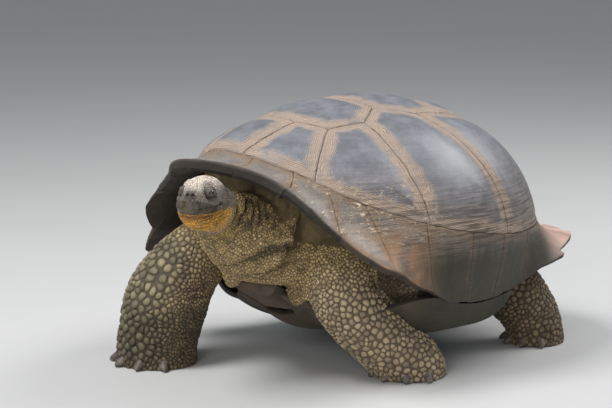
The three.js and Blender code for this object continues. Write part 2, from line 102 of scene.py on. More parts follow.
def curve_through(keys: Array, values: Array, x: Array, mirrored: bool) -> Array:
    """Smooth curve through a table.

    Args:
        keys: rising positions of the rows.
        values: one value a row.
        x: positions asked for.
        mirrored: whether the curve is flat at both ends, as if the rows were mirrored there.

    Returns:
        The value at each x.
    """
    gap = keys[-1] - keys[-2]
    if mirrored:
        k = np.concatenate([[-keys[1]], keys, [keys[-1] + gap]])
        v = np.concatenate([[values[1]], values, [values[-2]]])
    else:
        k = np.concatenate([[keys[0] - 1.0], keys, [keys[-1] + gap]])
        v = np.concatenate([[values[0]], values, [values[-1]]])
    i = np.clip(np.searchsorted(keys, x, side="left") - 1, 0, len(keys) - 2)
    h = k[i + 2] - k[i + 1]
    t = np.clip((x - k[i + 1]) / h, 0.0, 1.0)
    m1 = (v[i + 2] - v[i]) / (k[i + 2] - k[i]) * h
    m2 = (v[i + 3] - v[i + 1]) / (k[i + 3] - k[i + 1]) * h
    return hermite(v[i + 1], m1, v[i + 2], m2, t)


def value_noise(points: Array, size: float | Array, seed: int) -> Array:
    """Smooth noise in space.

    Args:
        points: places, one a row, in metres.
        size: distance between bumps, one number or one for each axis.
        seed: which noise.

    Returns:
        A number from -1 to 1 for each point.
    """
    q = points / np.asarray(size) + seed * 17.13
    cell = np.floor(q).astype(np.int64)
    f = q - cell
    f = f * f * (3.0 - 2.0 * f)
    total = np.zeros(len(points))
    for corner in itertools.product((0, 1), repeat=3):
        c = cell + np.array(corner)
        h = (c[:, 0] * 73856093) ^ (c[:, 1] * 19349663) ^ (c[:, 2] * 83492791)
        h = (h ^ (seed * 2654435761)) & 0xFFFFFFFF
        h = ((h ^ (h >> 13)) * 1274126177) & 0xFFFFFFFF
        v = ((h ^ (h >> 16)) & 0xFFFF) / 32767.5 - 1.0
        w = np.ones(len(points))
        for axis, side in enumerate(corner):
            w = w * (f[:, axis] if side else 1.0 - f[:, axis])
        total += w * v
    return total


def fractal(points: Array, size: float | Array, seed: int, octaves: int = 3) -> Array:
    """Sum of finer and finer noises, from about -1 to 1.

    Args:
        points: places, one a row, in metres.
        size: distance between the largest bumps.
        seed: which noise.
        octaves: how many noises.

    Returns:
        A number for each point.
    """
    total = np.zeros(len(points))
    for k in range(octaves):
        total += value_noise(points, np.asarray(size) / 2.0**k, seed + k) / 2.0 ** (k + 0.5)
    return total


def unit(v: Array) -> Array:
    """Vectors of length 1."""
    return v / np.maximum(np.linalg.norm(v, axis=-1, keepdims=True), 1e-12)


def full_turn(count: int) -> Array:
    """Angles shared out evenly over a full turn, in radians."""
    return np.arange(count) / count * 2 * math.pi


def tree_of(points: Array) -> KDTree:
    """A search tree of places.

    Args:
        points: the places, one a row.

    Returns:
        The balanced tree.
    """
    tree = KDTree(len(points))
    for i, p in enumerate(points):
        tree.insert(p, i)
    tree.balance()
    return tree


def mix(a: Array, b: Array, share: Array) -> Array:
    """Between a and b, row by row."""
    s = np.asarray(share)[..., None]
    return a * (1.0 - s) + b * s


# ---- meshes ----------------------------------------------------------------------------------
def new_piece(name: str, points: Array, faces: list, smooth: bool = True) -> Object:
    """Makes a mesh object at the origin.

    Args:
        name: the piece's name.
        points: its vertices, in metres.
        faces: tuples of vertex numbers.
        smooth: whether it is shaded smooth.

    Returns:
        The linked object.
    """
    mesh = bpy.data.meshes.new(name)
    mesh.from_pydata(np.asarray(points).tolist(), [], faces)
    mesh.update()
    mesh.polygons.foreach_set("use_smooth", [smooth] * len(mesh.polygons))
    piece = bpy.data.objects.new(name, mesh)
    bpy.context.scene.collection.objects.link(piece)
    return piece


def set_numbers(mesh: Mesh, name: str, values: Array) -> None:
    """Stores one number for each vertex."""
    layer = mesh.attributes.get(name) or mesh.attributes.new(name, "FLOAT", "POINT")
    layer.data.foreach_set("value", np.ascontiguousarray(values, np.float32))


def set_vectors(mesh: Mesh, name: str, values: Array) -> None:
    """Stores one vector for each vertex."""
    layer = mesh.attributes.get(name) or mesh.attributes.new(name, "FLOAT_VECTOR", "POINT")
    layer.data.foreach_set("vector", np.ascontiguousarray(values, np.float32).ravel())


def read(rows: bpy.types.bpy_prop_collection, name: str, width: int) -> Array:
    """A property of a mesh's rows, width numbers in each.

    Args:
        rows: the mesh's vertices, or an attribute's data.
        name: the property.
        width: how many numbers a row has.

    Returns:
        The numbers, one row each.
    """
    values = np.empty(len(rows) * width, np.float32)
    rows.foreach_get(name, values)
    return values.reshape(-1, width) if width > 1 else values


def points_of(mesh: Mesh) -> Array:
    """A mesh's vertices, one a row."""
    return read(mesh.vertices, "co", 3).astype(float)


def normals_of(mesh: Mesh) -> Array:
    """A mesh's vertex normals, one a row."""
    return read(mesh.vertices, "normal", 3).astype(float)


def raised(before: Array, after: Array, mesh: Mesh) -> Array:
    """How far places moved along a mesh's normals."""
    return np.einsum("ij,ij->i", after - before, normals_of(mesh))


def set_points(mesh: Mesh, points: Array) -> None:
    """Moves a mesh's vertices."""
    mesh.vertices.foreach_set("co", np.ascontiguousarray(points, np.float32).ravel())
    mesh.update()


def ring_faces(rings: int, around: int) -> list[tuple[int, ...]]:
    """Faces of a closed skin of rings between two poles.

    Args:
        rings: how many rings lie between the first vertex and the last.
        around: vertices in each ring.

    Returns:
        Tuples of vertex numbers, facing out where rings run anticlockwise seen from pole 0.
    """
    faces: list[tuple[int, ...]] = []
    last = 1 + rings * around
    for s in range(around):
        n = (s + 1) % around
        faces.append((0, 1 + s, 1 + n))
        for r in range(rings - 1):
            a, b = 1 + r * around, 1 + (r + 1) * around
            faces.append((a + s, b + s, b + n, a + n))
        a = 1 + (rings - 1) * around
        faces.append((a + s, last, a + n))
    return faces


def triangles(piece: Object) -> int:
    """How many triangles a piece's faces make."""
    return sum(len(face.vertices) - 2 for face in piece.data.polygons)


def gathered(parts: Iterable[tuple[Array, list]]) -> tuple[Array, list]:
    """Several meshes as the points and faces of one.

    Args:
        parts: points and faces of each mesh.

    Returns:
        The points of all, and their faces.
    """
    points, faces, start = [], [], 0
    for part_points, part_faces in parts:
        points.append(part_points)
        faces += [tuple(v + start for v in f) for f in part_faces]
        start += len(part_points)
    return np.concatenate(points), faces


def mesh_volume(points: Array, faces: list) -> float:
    """Volume inside a mesh, below zero if its faces point in."""
    fans = [(f[0], f[k], f[k + 1]) for f in faces for k in range(1, len(f) - 1)]
    a, b, c = (points[np.array(side)] for side in zip(*fans))
    return float((a * np.cross(b, c)).sum() / 6.0)


def outward(points: Array, faces: list) -> list:
    """The same faces, turned round if they point in."""
    return faces if mesh_volume(points, faces) > 0 else [tuple(reversed(f)) for f in faces]


# ---- the frame's own form --------------------------------------------------------------------
@dataclass(frozen=True)
class HeadForm:
    """The head's own frame: ahead of its middle, out to its left, and up. Millimetres."""

    at: tuple[float, float, float] = (106.0, -612.0, 474.0)
    yaw: float = 33.0
    mouth: float = 1.0
    eye_at: tuple[float, float, float] = (35.0, 33.0, 35.0)
    eye: float = 11.5
    nostril: tuple[float, float, float] = (86.0, 6.8, 35.0)
    # place ahead, half width, height above and depth below
    rows: tuple[tuple[float, float, float, float], ...] = (
        (-84, 31, 30, 38), (-76, 45, 46, 52), (-52, 56, 60, 64), (-24, 61, 67, 66),
        (6, 61, 66, 64), (30, 54, 61, 58), (52, 44, 55, 49), (70, 33, 49, 38),
        (82, 22, 40, 26), (88, 10, 26, 12),
    )

    def to_body(self, local: Array) -> Array:
        """Places in the head's frame, in the body's frame, in millimetres.

        Args:
            local: places in the head's frame, in millimetres.

        Returns:
            The same places in the body's frame.
        """
        s, c = math.sin(math.radians(self.yaw)), math.cos(math.radians(self.yaw))
        ahead, out, up = local[..., 0], local[..., 1], local[..., 2]
        x = self.at[0] + ahead * s + out * c
        y = self.at[1] - ahead * c + out * s
        return np.stack([x, y, self.at[2] + up], -1)

    def to_local(self, body: Array) -> Array:
        """Places in the body's frame, in the head's frame, in millimetres.

        Args:
            body: places in the body's frame, in millimetres.

        Returns:
            The same places in the head's frame.
        """
        s, c = math.sin(math.radians(self.yaw)), math.cos(math.radians(self.yaw))
        x, y = body[..., 0] - self.at[0], body[..., 1] - self.at[1]
        return np.stack([x * s - y * c, x * c + y * s, body[..., 2] - self.at[2]], -1)

    @staticmethod
    def one_side(local: Array) -> Array:
        """Places in the head's frame, with those on its right folded over to its left."""
        return np.stack([local[..., 0], np.abs(local[..., 1]), local[..., 2]], -1)

    def from_eye(self, local: Array) -> Array:
        """Distance of places in the head's frame from the nearer eye."""
        return np.linalg.norm(self.one_side(local) - np.array(self.eye_at), axis=1)


@dataclass(frozen=True)
class Placing:
    """Where the body's own frame lies in the row's frame."""

    shift: tuple[float, float, float]

    @classmethod
    def from_frame(cls, head: HeadForm) -> "Placing":
        """Works out the shift from the middles of the two eyes.

        Args:
            head: the head's form, which says where the eyes lie.

        Returns:
            The placing.
        """
        corners = [c for side in ("left", "right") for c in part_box(f"eye_{side}")]
        middle = np.mean([np.array(c) for c in corners], axis=0)
        local = np.array([head.eye_at[0], 0.0, head.eye_at[2]])
        return cls(tuple(middle - head.to_body(local) * MM))

    def row(self, body: Array) -> Array:
        """Millimetres in the body's frame to metres in the row's frame."""
        return np.asarray(body) * MM + np.array(self.shift)

    def body(self, row: Array) -> Array:
        """Metres in the row's frame to millimetres in the body's frame."""
        return (np.asarray(row) - np.array(self.shift)) / MM


@dataclass(frozen=True)
class ShellForm:
    """The dome and the belly as charts of a unit disc seen from above. Millimetres."""

    top: float = 681.0
    pivot: float = 350.0
    pitch: float = -2.2
    roll: float = -3.0
    rim_lean: float = 0.045
    seam: float = 0.785
    belly_floor: float = 82.0
    # bearing, then reach, height and slope at the seam, and the same at the rim
    stations: tuple[tuple[float, ...], ...] = (
        (0, 468, 562, 46, 574, 546, -10),
        (26, 448, 512, 51, 522, 484, -3),
        (52, 452, 424, 65, 556, 296, 25),
        (80, 444, 359, 84, 431, 172, 96),
        (112, 447, 330, 90, 421, 169, 96),
        (146, 474, 344, 72, 562, 280, 16),
        (180, 472, 342, 55, 592, 298, 2),
    )
    # bearing, reach and height of the belly's edge
    plastron: tuple[tuple[float, float, float], ...] = (
        (0, 366, 112), (16, 354, 106), (32, 326, 80), (48, 334, 68), (62, 392, 74),
        (76, 416, 78), (92, 414, 76), (112, 404, 74), (126, 372, 60), (150, 388, 36),
        (180, 410, 44),
    )
    # bearings between which the belly joins the dome
    bridge: tuple[float, float, float, float] = (58.0, 80.0, 112.0, 128.0)

    def dome(self, q: Array) -> Array:
        """Points of the dome at places of its chart, before the body leans.

        Args:
            q: places of the chart, one a row.

        Returns:
            Points in millimetres.
        """
        w = np.hypot(q[:, 0], q[:, 1])
        turn = np.arctan2(q[:, 0], -q[:, 1])
        turn = np.where(w < 1e-9, 0.0, turn)
        bearing = np.degrees(np.abs(turn))
        table = np.array(self.stations, float)
        seam_r, seam_z, seam_t, rim_r, rim_z, rim_t = (
            curve_through(table[:, 0], table[:, k], bearing, True) for k in range(1, 7)
        )
        seam_t, rim_t = np.radians(seam_t), np.radians(rim_t)
        c = np.cos(turn)
        t = np.clip(w / self.seam, 0.0, 1.0)
        fall = (1.53 - 0.22 * c) * (self.top - seam_z)
        r_in = hermite(0.0, (1.76 - 0.2 * c) * seam_r, seam_r, np.cos(seam_t) * fall, t)
        z_in = hermite(self.top, 0.0, seam_z, -np.sin(seam_t) * fall, t)
        t = (w - self.seam) / (1.0 - self.seam)
        run = 0.9 * np.hypot(rim_r - seam_r, rim_z - seam_z)
        r_out = hermite(seam_r, np.cos(seam_t) * run, rim_r, np.cos(rim_t) * run, t)
        z_out = hermite(seam_z, -np.sin(seam_t) * run, rim_z, -np.sin(rim_t) * run, t)
        inside = w < self.seam
        r, z = np.where(inside, r_in, r_out), np.where(inside, z_in, z_out)
        x = r * np.sin(turn)
        return np.stack([x, -r * c, z + self.rim_lean * x * w**3], -1)

    def belly(self, q: Array) -> Array:
        """Points of the belly plate's under side on its own disc.

        Args:
            q: places of the chart, one a row.

        Returns:
            Points in millimetres.
        """
        w = np.hypot(q[:, 0], q[:, 1])
        turn = np.where(w < 1e-9, 0.0, np.arctan2(q[:, 0], -q[:, 1]))
        bearing = np.degrees(np.abs(turn))
        table, rim = np.array(self.plastron, float), np.array(self.stations, float)
        b = self.bridge
        wrap = smoothstep(bearing, b[0], b[1]) * (1 - smoothstep(bearing, b[2], b[3]))
        reach, high = (
            (1 - wrap) * curve_through(table[:, 0], table[:, low], bearing, True)
            + wrap * (curve_through(rim[:, 0], rim[:, up], bearing, True) - inset)
            for low, up, inset in ((1, 4, 3.0), (2, 5, self.belly_floor + 4.0))
        )
        bow = math.pi * np.maximum(0.0, w - 0.5)
        curled = np.where(w < 0.5, 1.2 * w, 0.6 + 0.4 * np.sin(bow))
        r = reach * ((1 - wrap) * w + wrap * curled)
        flat = smoothstep(w, 0.5, 1.12) / 0.93
        rise = high * ((1 - wrap) * flat + wrap * (1.0 - np.cos(bow)))
        x = r * np.sin(turn)
        z = self.belly_floor + rise + self.rim_lean * x * w * w
        return np.stack([x, -r * np.cos(turn), z], -1)

    def normal(self, surface: Callable[[Array], Array], q: Array) -> Array:
        """Upward normals of a chart's surface.

        Args:
            surface: the dome or the belly.
            q: places of the chart.

        Returns:
            Vectors of length 1.
        """
        e = 0.004
        du = surface(q + (e, 0.0)) - surface(q - (e, 0.0))
        dv = surface(q + (0.0, e)) - surface(q - (0.0, e))
        return unit(np.cross(du, dv))

    def offset(self, surface: Callable[[Array], Array], q: Array, by: Array | float) -> Array:
        """Points at a height over a chart's surface.

        Args:
            surface: the dome or the belly.
            q: places of the chart.
            by: the height, one for all or one for each place, in millimetres.

        Returns:
            Points in millimetres.
        """
        by = np.asarray(by, float)
        by = by[:, None] if by.ndim else by
        return surface(q) + self.normal(surface, q) * by

    def lean(self, p: Array) -> Array:
        """Pitch and roll of the shell and trunk about the pivot.

        Args:
            p: points in millimetres.

        Returns:
            The same points, leaning.
        """
        a, b = math.radians(self.pitch), math.radians(self.roll)
        rx = np.array([[1, 0, 0], [0, math.cos(a), -math.sin(a)], [0, math.sin(a), math.cos(a)]])
        ry = np.array([[math.cos(b), 0, math.sin(b)], [0, 1, 0], [-math.sin(b), 0, math.cos(b)]])
        pivot = np.array([0.0, 0.0, self.pivot])
        return (p - pivot) @ (ry @ rx).T + pivot


def polar(bearing: Array | float, w: Array | float) -> Array:
    """Chart places from bearings in degrees and distances from the middle."""
    turn = np.radians(bearing)
    return np.stack(np.broadcast_arrays(w * np.sin(turn), -w * np.cos(turn)), -1)


# ---- shell plates ----------------------------------------------------------------------------
class PlateKind(Enum):
    """The families of horn plates."""

    VERTEBRAL = "vertebral"
    COSTAL = "costal"
    MARGINAL = "marginal"
    PLASTRON = "plastron"


Corner = tuple[float, float]


@dataclass(frozen=True)
class PlateOutline:
    """One plate's corners as bearings and distances on its chart, walked round its edge."""

    name: str
    kind: PlateKind
    corners: tuple[Corner, ...]
    outer_edges: tuple[int, ...] = ()

    def mirrored(self, name: str) -> "PlateOutline":
        """The same plate on the animal's other side.

        Args:
            name: the new plate's name.

        Returns:
            The mirrored plate.
        """
        n = len(self.corners)
        corners = tuple((-b, w) for b, w in reversed(self.corners))
        edges = tuple((n - 2 - e) % n for e in self.outer_edges)
        return PlateOutline(name, self.kind, corners, edges)

    def ring(self, step: float) -> tuple[Array, Array]:
        """Walks the edge on the chart.

        Args:
            step: distance between places, on the unit disc.

        Returns:
            The places, and for each whether it lies on the free rim.
        """
        places, free = [], []
        for i, (bearing, w) in enumerate(self.corners):
            b2, w2 = self.corners[(i + 1) % len(self.corners)]
            a, b = polar(bearing, w), polar(b2, w2)
            arc = abs(w2 - w) < 0.09 and w > 0.7
            length = abs(math.radians(b2 - bearing)) * w if arc else float(np.hypot(*(b - a)))
            t = np.arange(max(4, round(length / step))) / max(4, round(length / step))
            if arc:
                places.append(polar(bearing + t * (b2 - bearing), w + t * (w2 - w)))
            else:
                places.append(a + t[:, None] * (b - a))
            free.append(np.full(len(t), i in self.outer_edges))
        return np.concatenate(places), np.concatenate(free)


@dataclass(frozen=True)
class PlateLayout:
    """How the chart is shared out among the plates."""

    seam: float = 0.785
    seam_cuts: tuple[float, ...] = (0, 13, 27, 38, 50, 70, 88, 104, 121, 138, 155, 171)
    rim_cuts: tuple[float, ...] = (0, 14, 29, 44, 58, 71, 88, 104, 120, 137, 154, 171)

    def rim_reach(self, bearing: float, share: float) -> float:
        """How far a rim plate runs out, stepped behind the front flare, pointed at the rear.

        Args:
            bearing: bearing from the front, in degrees.
            share: how far across the plate, from 0 to 1.

        Returns:
            The distance on the chart.
        """
        step = 0.055 * math.exp(-(bearing - 28.5) / 7) if bearing > 28.5 else 0.0
        point = float(smoothstep(bearing, 118, 140)) * 0.045 * share * share
        depth = 0.055 if bearing < 60 else 0.012
        bow = depth * math.sin(math.pi * share) if 28.5 < bearing < 80 else 0.0
        return 1.0 + step + point + bow

    def plates(self) -> list[PlateOutline]:
        """All plates of the dome, left and right.

        Returns:
            The outlines, from the front row to the piece over the tail.
        """
        s = self.seam
        # where seams meet: bearing and distance
        v1, v12, j1, j2, j3 = (9, s), (15, 0.385), (32, 0.39), (51, 0.3), (60, 0.178)
        v3, v34, v45, v5 = (93, 0.225), (118, 0.235), (161, 0.44), (152, s)
        c12, c23, c34 = (34, s), (72, s), (106, s)

        def across(*left: Corner) -> tuple[Corner, ...]:
            """Corners on the left, then the same ones on the right."""
            return left + tuple((-b, w) for b, w in reversed(left))

        rear = (v45, v5, (208, s), (199, 0.44))
        middle = [
            across(v1, v12), across(v12, j1, j2, j3), across(j3, v3, v34), across(v34, v45), rear
        ]
        found = [
            PlateOutline(f"vertebral_{i + 1}", PlateKind.VERTEBRAL, c)
            for i, c in enumerate(middle)
        ]
        sides = [
            (v1, c12, j1, v12), (j1, c12, c23, j2), (j2, c23, c34, v3, j3), (v3, c34, v5, v45, v34)
        ]
        for i, corners in enumerate(sides):
            plate = PlateOutline(f"costal_left_{i + 1}", PlateKind.COSTAL, corners)
            found += [plate, plate.mirrored(f"costal_right_{i + 1}")]
        for i in range(11):
            a, b = self.seam_cuts[i : i + 2]
            c, d = self.rim_cuts[i : i + 2]
            corners = (
                (a, s), (b, s), (d, self.rim_reach(d, 1)),
                ((c + d) / 2, self.rim_reach((c + d) / 2, 0.4)), (c, self.rim_reach(c + 0.6, 0)),
            )
            plate = PlateOutline(f"marginal_left_{i + 1}", PlateKind.MARGINAL, corners, (2, 3))
            found += [plate, plate.mirrored(f"marginal_right_{i + 1}")]
        corners = ((171, s), (189, s), (189, 1.01), (180, 0.99), (171, 1.01))
        found.append(PlateOutline("supracaudal", PlateKind.MARGINAL, corners, (2, 3)))
        return found

    def belly_plates(self) -> list[PlateOutline]:
        """All plates of the belly, left and right.

        Returns:
            The outlines, from the front to the rear.
        """
        kind = PlateKind.PLASTRON
        gular = ((-14, 1.06), (14, 1.06), (12, 0.78), (-12, 0.78))
        found = [PlateOutline("plastron_gular", kind, gular, (0,))]
        pairs = {
            "front": (((14, 1), (83, 1), (0, 0.22), (0, 0.75), (12, 0.78)), (0,)),
            "middle": (((83, 1), (110, 1), (180, 0.3), (0, 0.22)), ()),
            "rear": (((110, 1), (180, 1), (180, 0.3)), (0,)),
        }
        for name, (corners, free) in pairs.items():
            plate = PlateOutline(f"plastron_{name}_left", kind, corners, free)
            found += [plate, plate.mirrored(f"plastron_{name}_right")]
        return found


@dataclass
class Shell:
    """The horn plates, each domed, ringed by its growth lines and worn smooth in the middle."""

    form: ShellForm
    placing: Placing
    layout: PlateLayout = field(default_factory=PlateLayout)
    plate: float = 15.0
    rim_plate: float = 20.0
    flare_plate: float = 30.0
    belly_plate: float = 16.0
    gular_deep: float = 38.0
    # the gular plate's face: shares of the way out and heights there
    gular_face: tuple[tuple[float, ...], ...] = ((0.0, 0.4, 0.65, 0.82, 0.94, 1.0), (7, 5, 1, -5, -12, -18))
    # walls of the gular plate and of the others: share of the way out and of the plate's depth
    gular_walls: tuple[tuple[float, float], ...] = (
        (1.0, -0.58), (0.97, -0.74), (0.9, -0.87), (0.78, -0.96), (0.6, -1.0), (0.2, -1.0),
    )
    edge_walls: tuple[tuple[float, float], ...] = (
        (1.0, -0.35), (1.0, -0.75), (0.985, -1.0), (0.6, -1.0), (0.2, -1.0),
    )
    no_rim: float = 900.0
    dome: float = 11.0
    half_seam: float = 0.3
    ring_gap: float = 7.5
    step: float = 0.0068
    rings: int = 40

    def build(self, finishes: dict[PlateKind, Material]) -> list[Object]:
        """Builds every plate and dresses it.

        Args:
            finishes: the horn of each family.

        Returns:
            The plates, each standing for its node.
        """
        made = []
        for outline in self.layout.plates() + self.layout.belly_plates():
            piece = self.plate_piece(outline)
            piece.data.materials.append(finishes[outline.kind])
            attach(piece, BODY)
            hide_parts(outline.name)
            made.append(piece)
        return made

    def plate_piece(self, outline: PlateOutline) -> Object:
        """Builds one plate.

        Args:
            outline: its edge on the chart.

        Returns:
            A closed solid with its distance to the seam and to the free rim at each vertex.
        """
        under = outline.kind is PlateKind.PLASTRON
        ring, free = outline.ring(self.step * (2.0 if under else 1.0))
        ring = ring + self.wander(ring)
        middle = ring.mean(0)
        arm = ring - middle
        # drawn in by half a seam, on a chart whose unit is about the shell's half width
        arm = arm * (1.0 - self.half_seam / 450.0 * 1.25 / np.hypot(*arm.T))[:, None]
        top, seam_gap, rim_gap = self.face(outline, middle, arm, free)
        walls = self.walls(outline, middle, arm, free)
        rings = top[1:] + walls[:-1]
        points = np.concatenate([top[0].mean(0)[None], *rings, walls[-1]])
        faces = outward(points, ring_faces(len(rings), len(ring)))
        piece = new_piece(f"horn_{outline.name}", self.placing.row(self.form.lean(points)), faces)
        piece.data.set_sharp_from_angle(angle=math.radians(42))
        # distances to seam and rim for the finish, zero on walls and under side
        pad = np.zeros((len(walls) - 1) * len(ring) + 1)
        for label, gaps in (("seam_gap", seam_gap), ("rim_gap", rim_gap)):
            shown = np.concatenate([[gaps[0].mean()], *gaps[1:]])
            set_numbers(piece.data, label, np.concatenate([shown, pad]) * MM)
        # marks the walls and under side, which the finish darkens as painted shade
        under_face = np.concatenate([np.zeros(len(points) - len(pad)), pad + 1.0])
        set_numbers(piece.data, "underside", under_face)
        return piece

    @staticmethod
    def wander(ring: Array) -> Array:
        """How far seams stray from their straight course on the chart.

        Args:
            ring: places of a plate's edge.

        Returns:
            The way each place is moved.
        """
        flat = np.concatenate([ring, np.zeros((len(ring), 1))], 1)
        shake = np.stack([value_noise(flat, 0.045, 31), value_noise(flat, 0.045, 32)], -1)
        fine = np.stack([value_noise(flat, 0.012, 33), value_noise(flat, 0.012, 34)], -1)
        return shake * 0.0028 + fine * 0.0012

    def surface(self, outline: PlateOutline) -> tuple[Callable[[Array], Array], float]:
        """The chart a plate lies on, and which way its face points."""
        under = outline.kind is PlateKind.PLASTRON
        return (self.form.belly, -1.0) if under else (self.form.dome, 1.0)

    def face(
        self, outline: PlateOutline, middle: Array, arm: Array, free: Array
    ) -> tuple[list[Array], list[Array], list[Array]]:
        """The rings of a plate's face, from its middle to its edge.

        Args:
            outline: the plate.
            middle: its middle on the chart.
            arm: from there to each place of its edge.
            free: whether that place lies on the free rim.

        Returns:
            The rings, with their distances to the seam and to the free rim.
        """
        surface, side = self.surface(outline)
        edge = surface(middle + arm)
        top, seam_gap, rim_gap = [], [], []
        for share in self.shares(outline):
            q = middle + arm * max(share, 1e-4)
            at = surface(q)
            d_seam = self.gap(at, edge[~free])
            d_rim = self.gap(at, edge[free]) if free.any() else np.full(len(at), self.no_rim)
            rise = self.relief(outline, at, share, d_seam, d_rim)
            top.append(at + self.form.normal(surface, q) * (side * rise)[:, None])
            seam_gap.append(d_seam)
            rim_gap.append(d_rim)
        return top, seam_gap, rim_gap

    def walls(self, outline: PlateOutline, middle: Array, arm: Array, free: Array) -> list[Array]:
        """The rings of a plate's walls and under side, the last one its lower middle.

        Args:
            outline: the plate.
            middle: its middle on the chart.
            arm: from there to each place of its edge.
            free: whether that place lies on the free rim.

        Returns:
            The rings, from the edge inward.
        """
        surface, side = self.surface(outline)
        gular = outline.name.endswith("gular")
        deep = self.thickness(outline)
        free_deep = deep * np.where(free, 0.72, 1.0)
        rings = []
        for share, height in self.gular_walls if gular else self.edge_walls:
            drop = height * (free_deep if share > 0.9 and not gular else deep)
            rings.append(self.form.offset(surface, middle + arm * share, side * drop))
        return [*rings, self.form.offset(surface, middle[None], side * -deep)]

    def thickness(self, outline: PlateOutline) -> float:
        """How thick a plate is, in millimetres.

        Args:
            outline: the plate.

        Returns:
            The thickness.
        """
        if outline.name.endswith("gular"):
            return self.gular_deep
        if outline.kind is PlateKind.PLASTRON:
            return self.belly_plate
        if outline.kind is PlateKind.MARGINAL:
            flare = outline.name.endswith(("t_1", "t_2"))
            return self.flare_plate if flare else self.rim_plate
        return self.plate

    def shares(self, outline: PlateOutline) -> Array:
        """Shares of the way out at which the plate's rings lie, closer near its edge.

        Args:
            outline: the plate.

        Returns:
            Rising numbers from 0 to 1.
        """
        big = outline.kind in (PlateKind.VERTEBRAL, PlateKind.COSTAL)
        count = self.rings if big else self.rings // (3 if outline.kind is PlateKind.PLASTRON else 2)
        t = np.linspace(0.0, 1.0, count + 1)
        return np.concatenate([1.0 - (1.0 - t[:-1]) ** 1.25, [0.988, 0.996, 1.0]])

    @staticmethod
    def gap(points: Array, line: Array) -> Array:
        """Distance from each point to the nearest place on a line of places."""
        d = points[:, None, :] - line[None, :, :]
        return np.sqrt((d**2).sum(-1).min(1))

    def relief(
        self, outline: PlateOutline, at: Array, share: float, seam: Array, rim: Array
    ) -> Array:
        """Height of a plate's face over the chart's surface, in millimetres.

        Args:
            outline: the plate.
            at: places on the surface.
            share: how far out this ring lies, from 0 to 1.
            seam: distance to the nearest seam.
            rim: distance to the free rim.

        Returns:
            The height at each place.
        """
        near = np.minimum(seam, rim)
        place = at * MM
        patchy = smoothstep(fractal(place, 0.07, 5), -0.5, 0.6)
        rough = fractal(place, 0.012, 9, 3)
        lip = -1.5 * (1.0 - smoothstep(near, 0.0, 6.0)) ** 2
        lip *= 0.45 + 0.55 * smoothstep(at[:, 2], 300.0, 420.0)
        if outline.kind in (PlateKind.VERTEBRAL, PlateKind.COSTAL):
            base = self.dome * (1.0 - share**2.4)
            band = 1.0 - smoothstep(seam, 14.0, 44.0)
            trough = -1.6 * bump(seam, 17.0, 10.0) + 1.3 * bump(seam, 5.0, 5.0)
            lines = np.sin(seam / self.ring_gap * 2 * math.pi + 1.6 * fractal(place, 0.05, 13))
            outer = 1.0 - smoothstep(seam, 50.0, 120.0)
            low = 1.0 - smoothstep(at[:, 2], 380.0, 520.0)
            grown = lines * (0.28 * outer * patchy + 0.35 * low * patchy)
            return base + lip + trough + grown + band * rough * 0.55
        if outline.kind is PlateKind.MARGINAL:
            base = 3.0 - 1.2 * share**2
            lines = np.sin(seam / self.ring_gap * 2 * math.pi + 2.0 * fractal(place, 0.05, 17))
            return base + lip + lines * 0.35 * patchy + rough * 0.35 * (0.4 + patchy)
        lines = np.sin(seam / 11.0 * 2 * math.pi + 2.0 * fractal(place, 0.06, 19))
        if outline.name.endswith("gular"):
            return np.interp(share, *self.gular_face) + lines * 0.5 * patchy + rough * 0.6
        return 2.0 + lip + lines * 0.3 * patchy + rough * 0.3


# ---- shader groups ---------------------------------------------------------------------------
class Sockets(Enum):
    """Kinds of socket a shader group has."""

    NUMBER = "NodeSocketFloat"
    COLOUR = "NodeSocketColor"
    VECTOR = "NodeSocketVector"


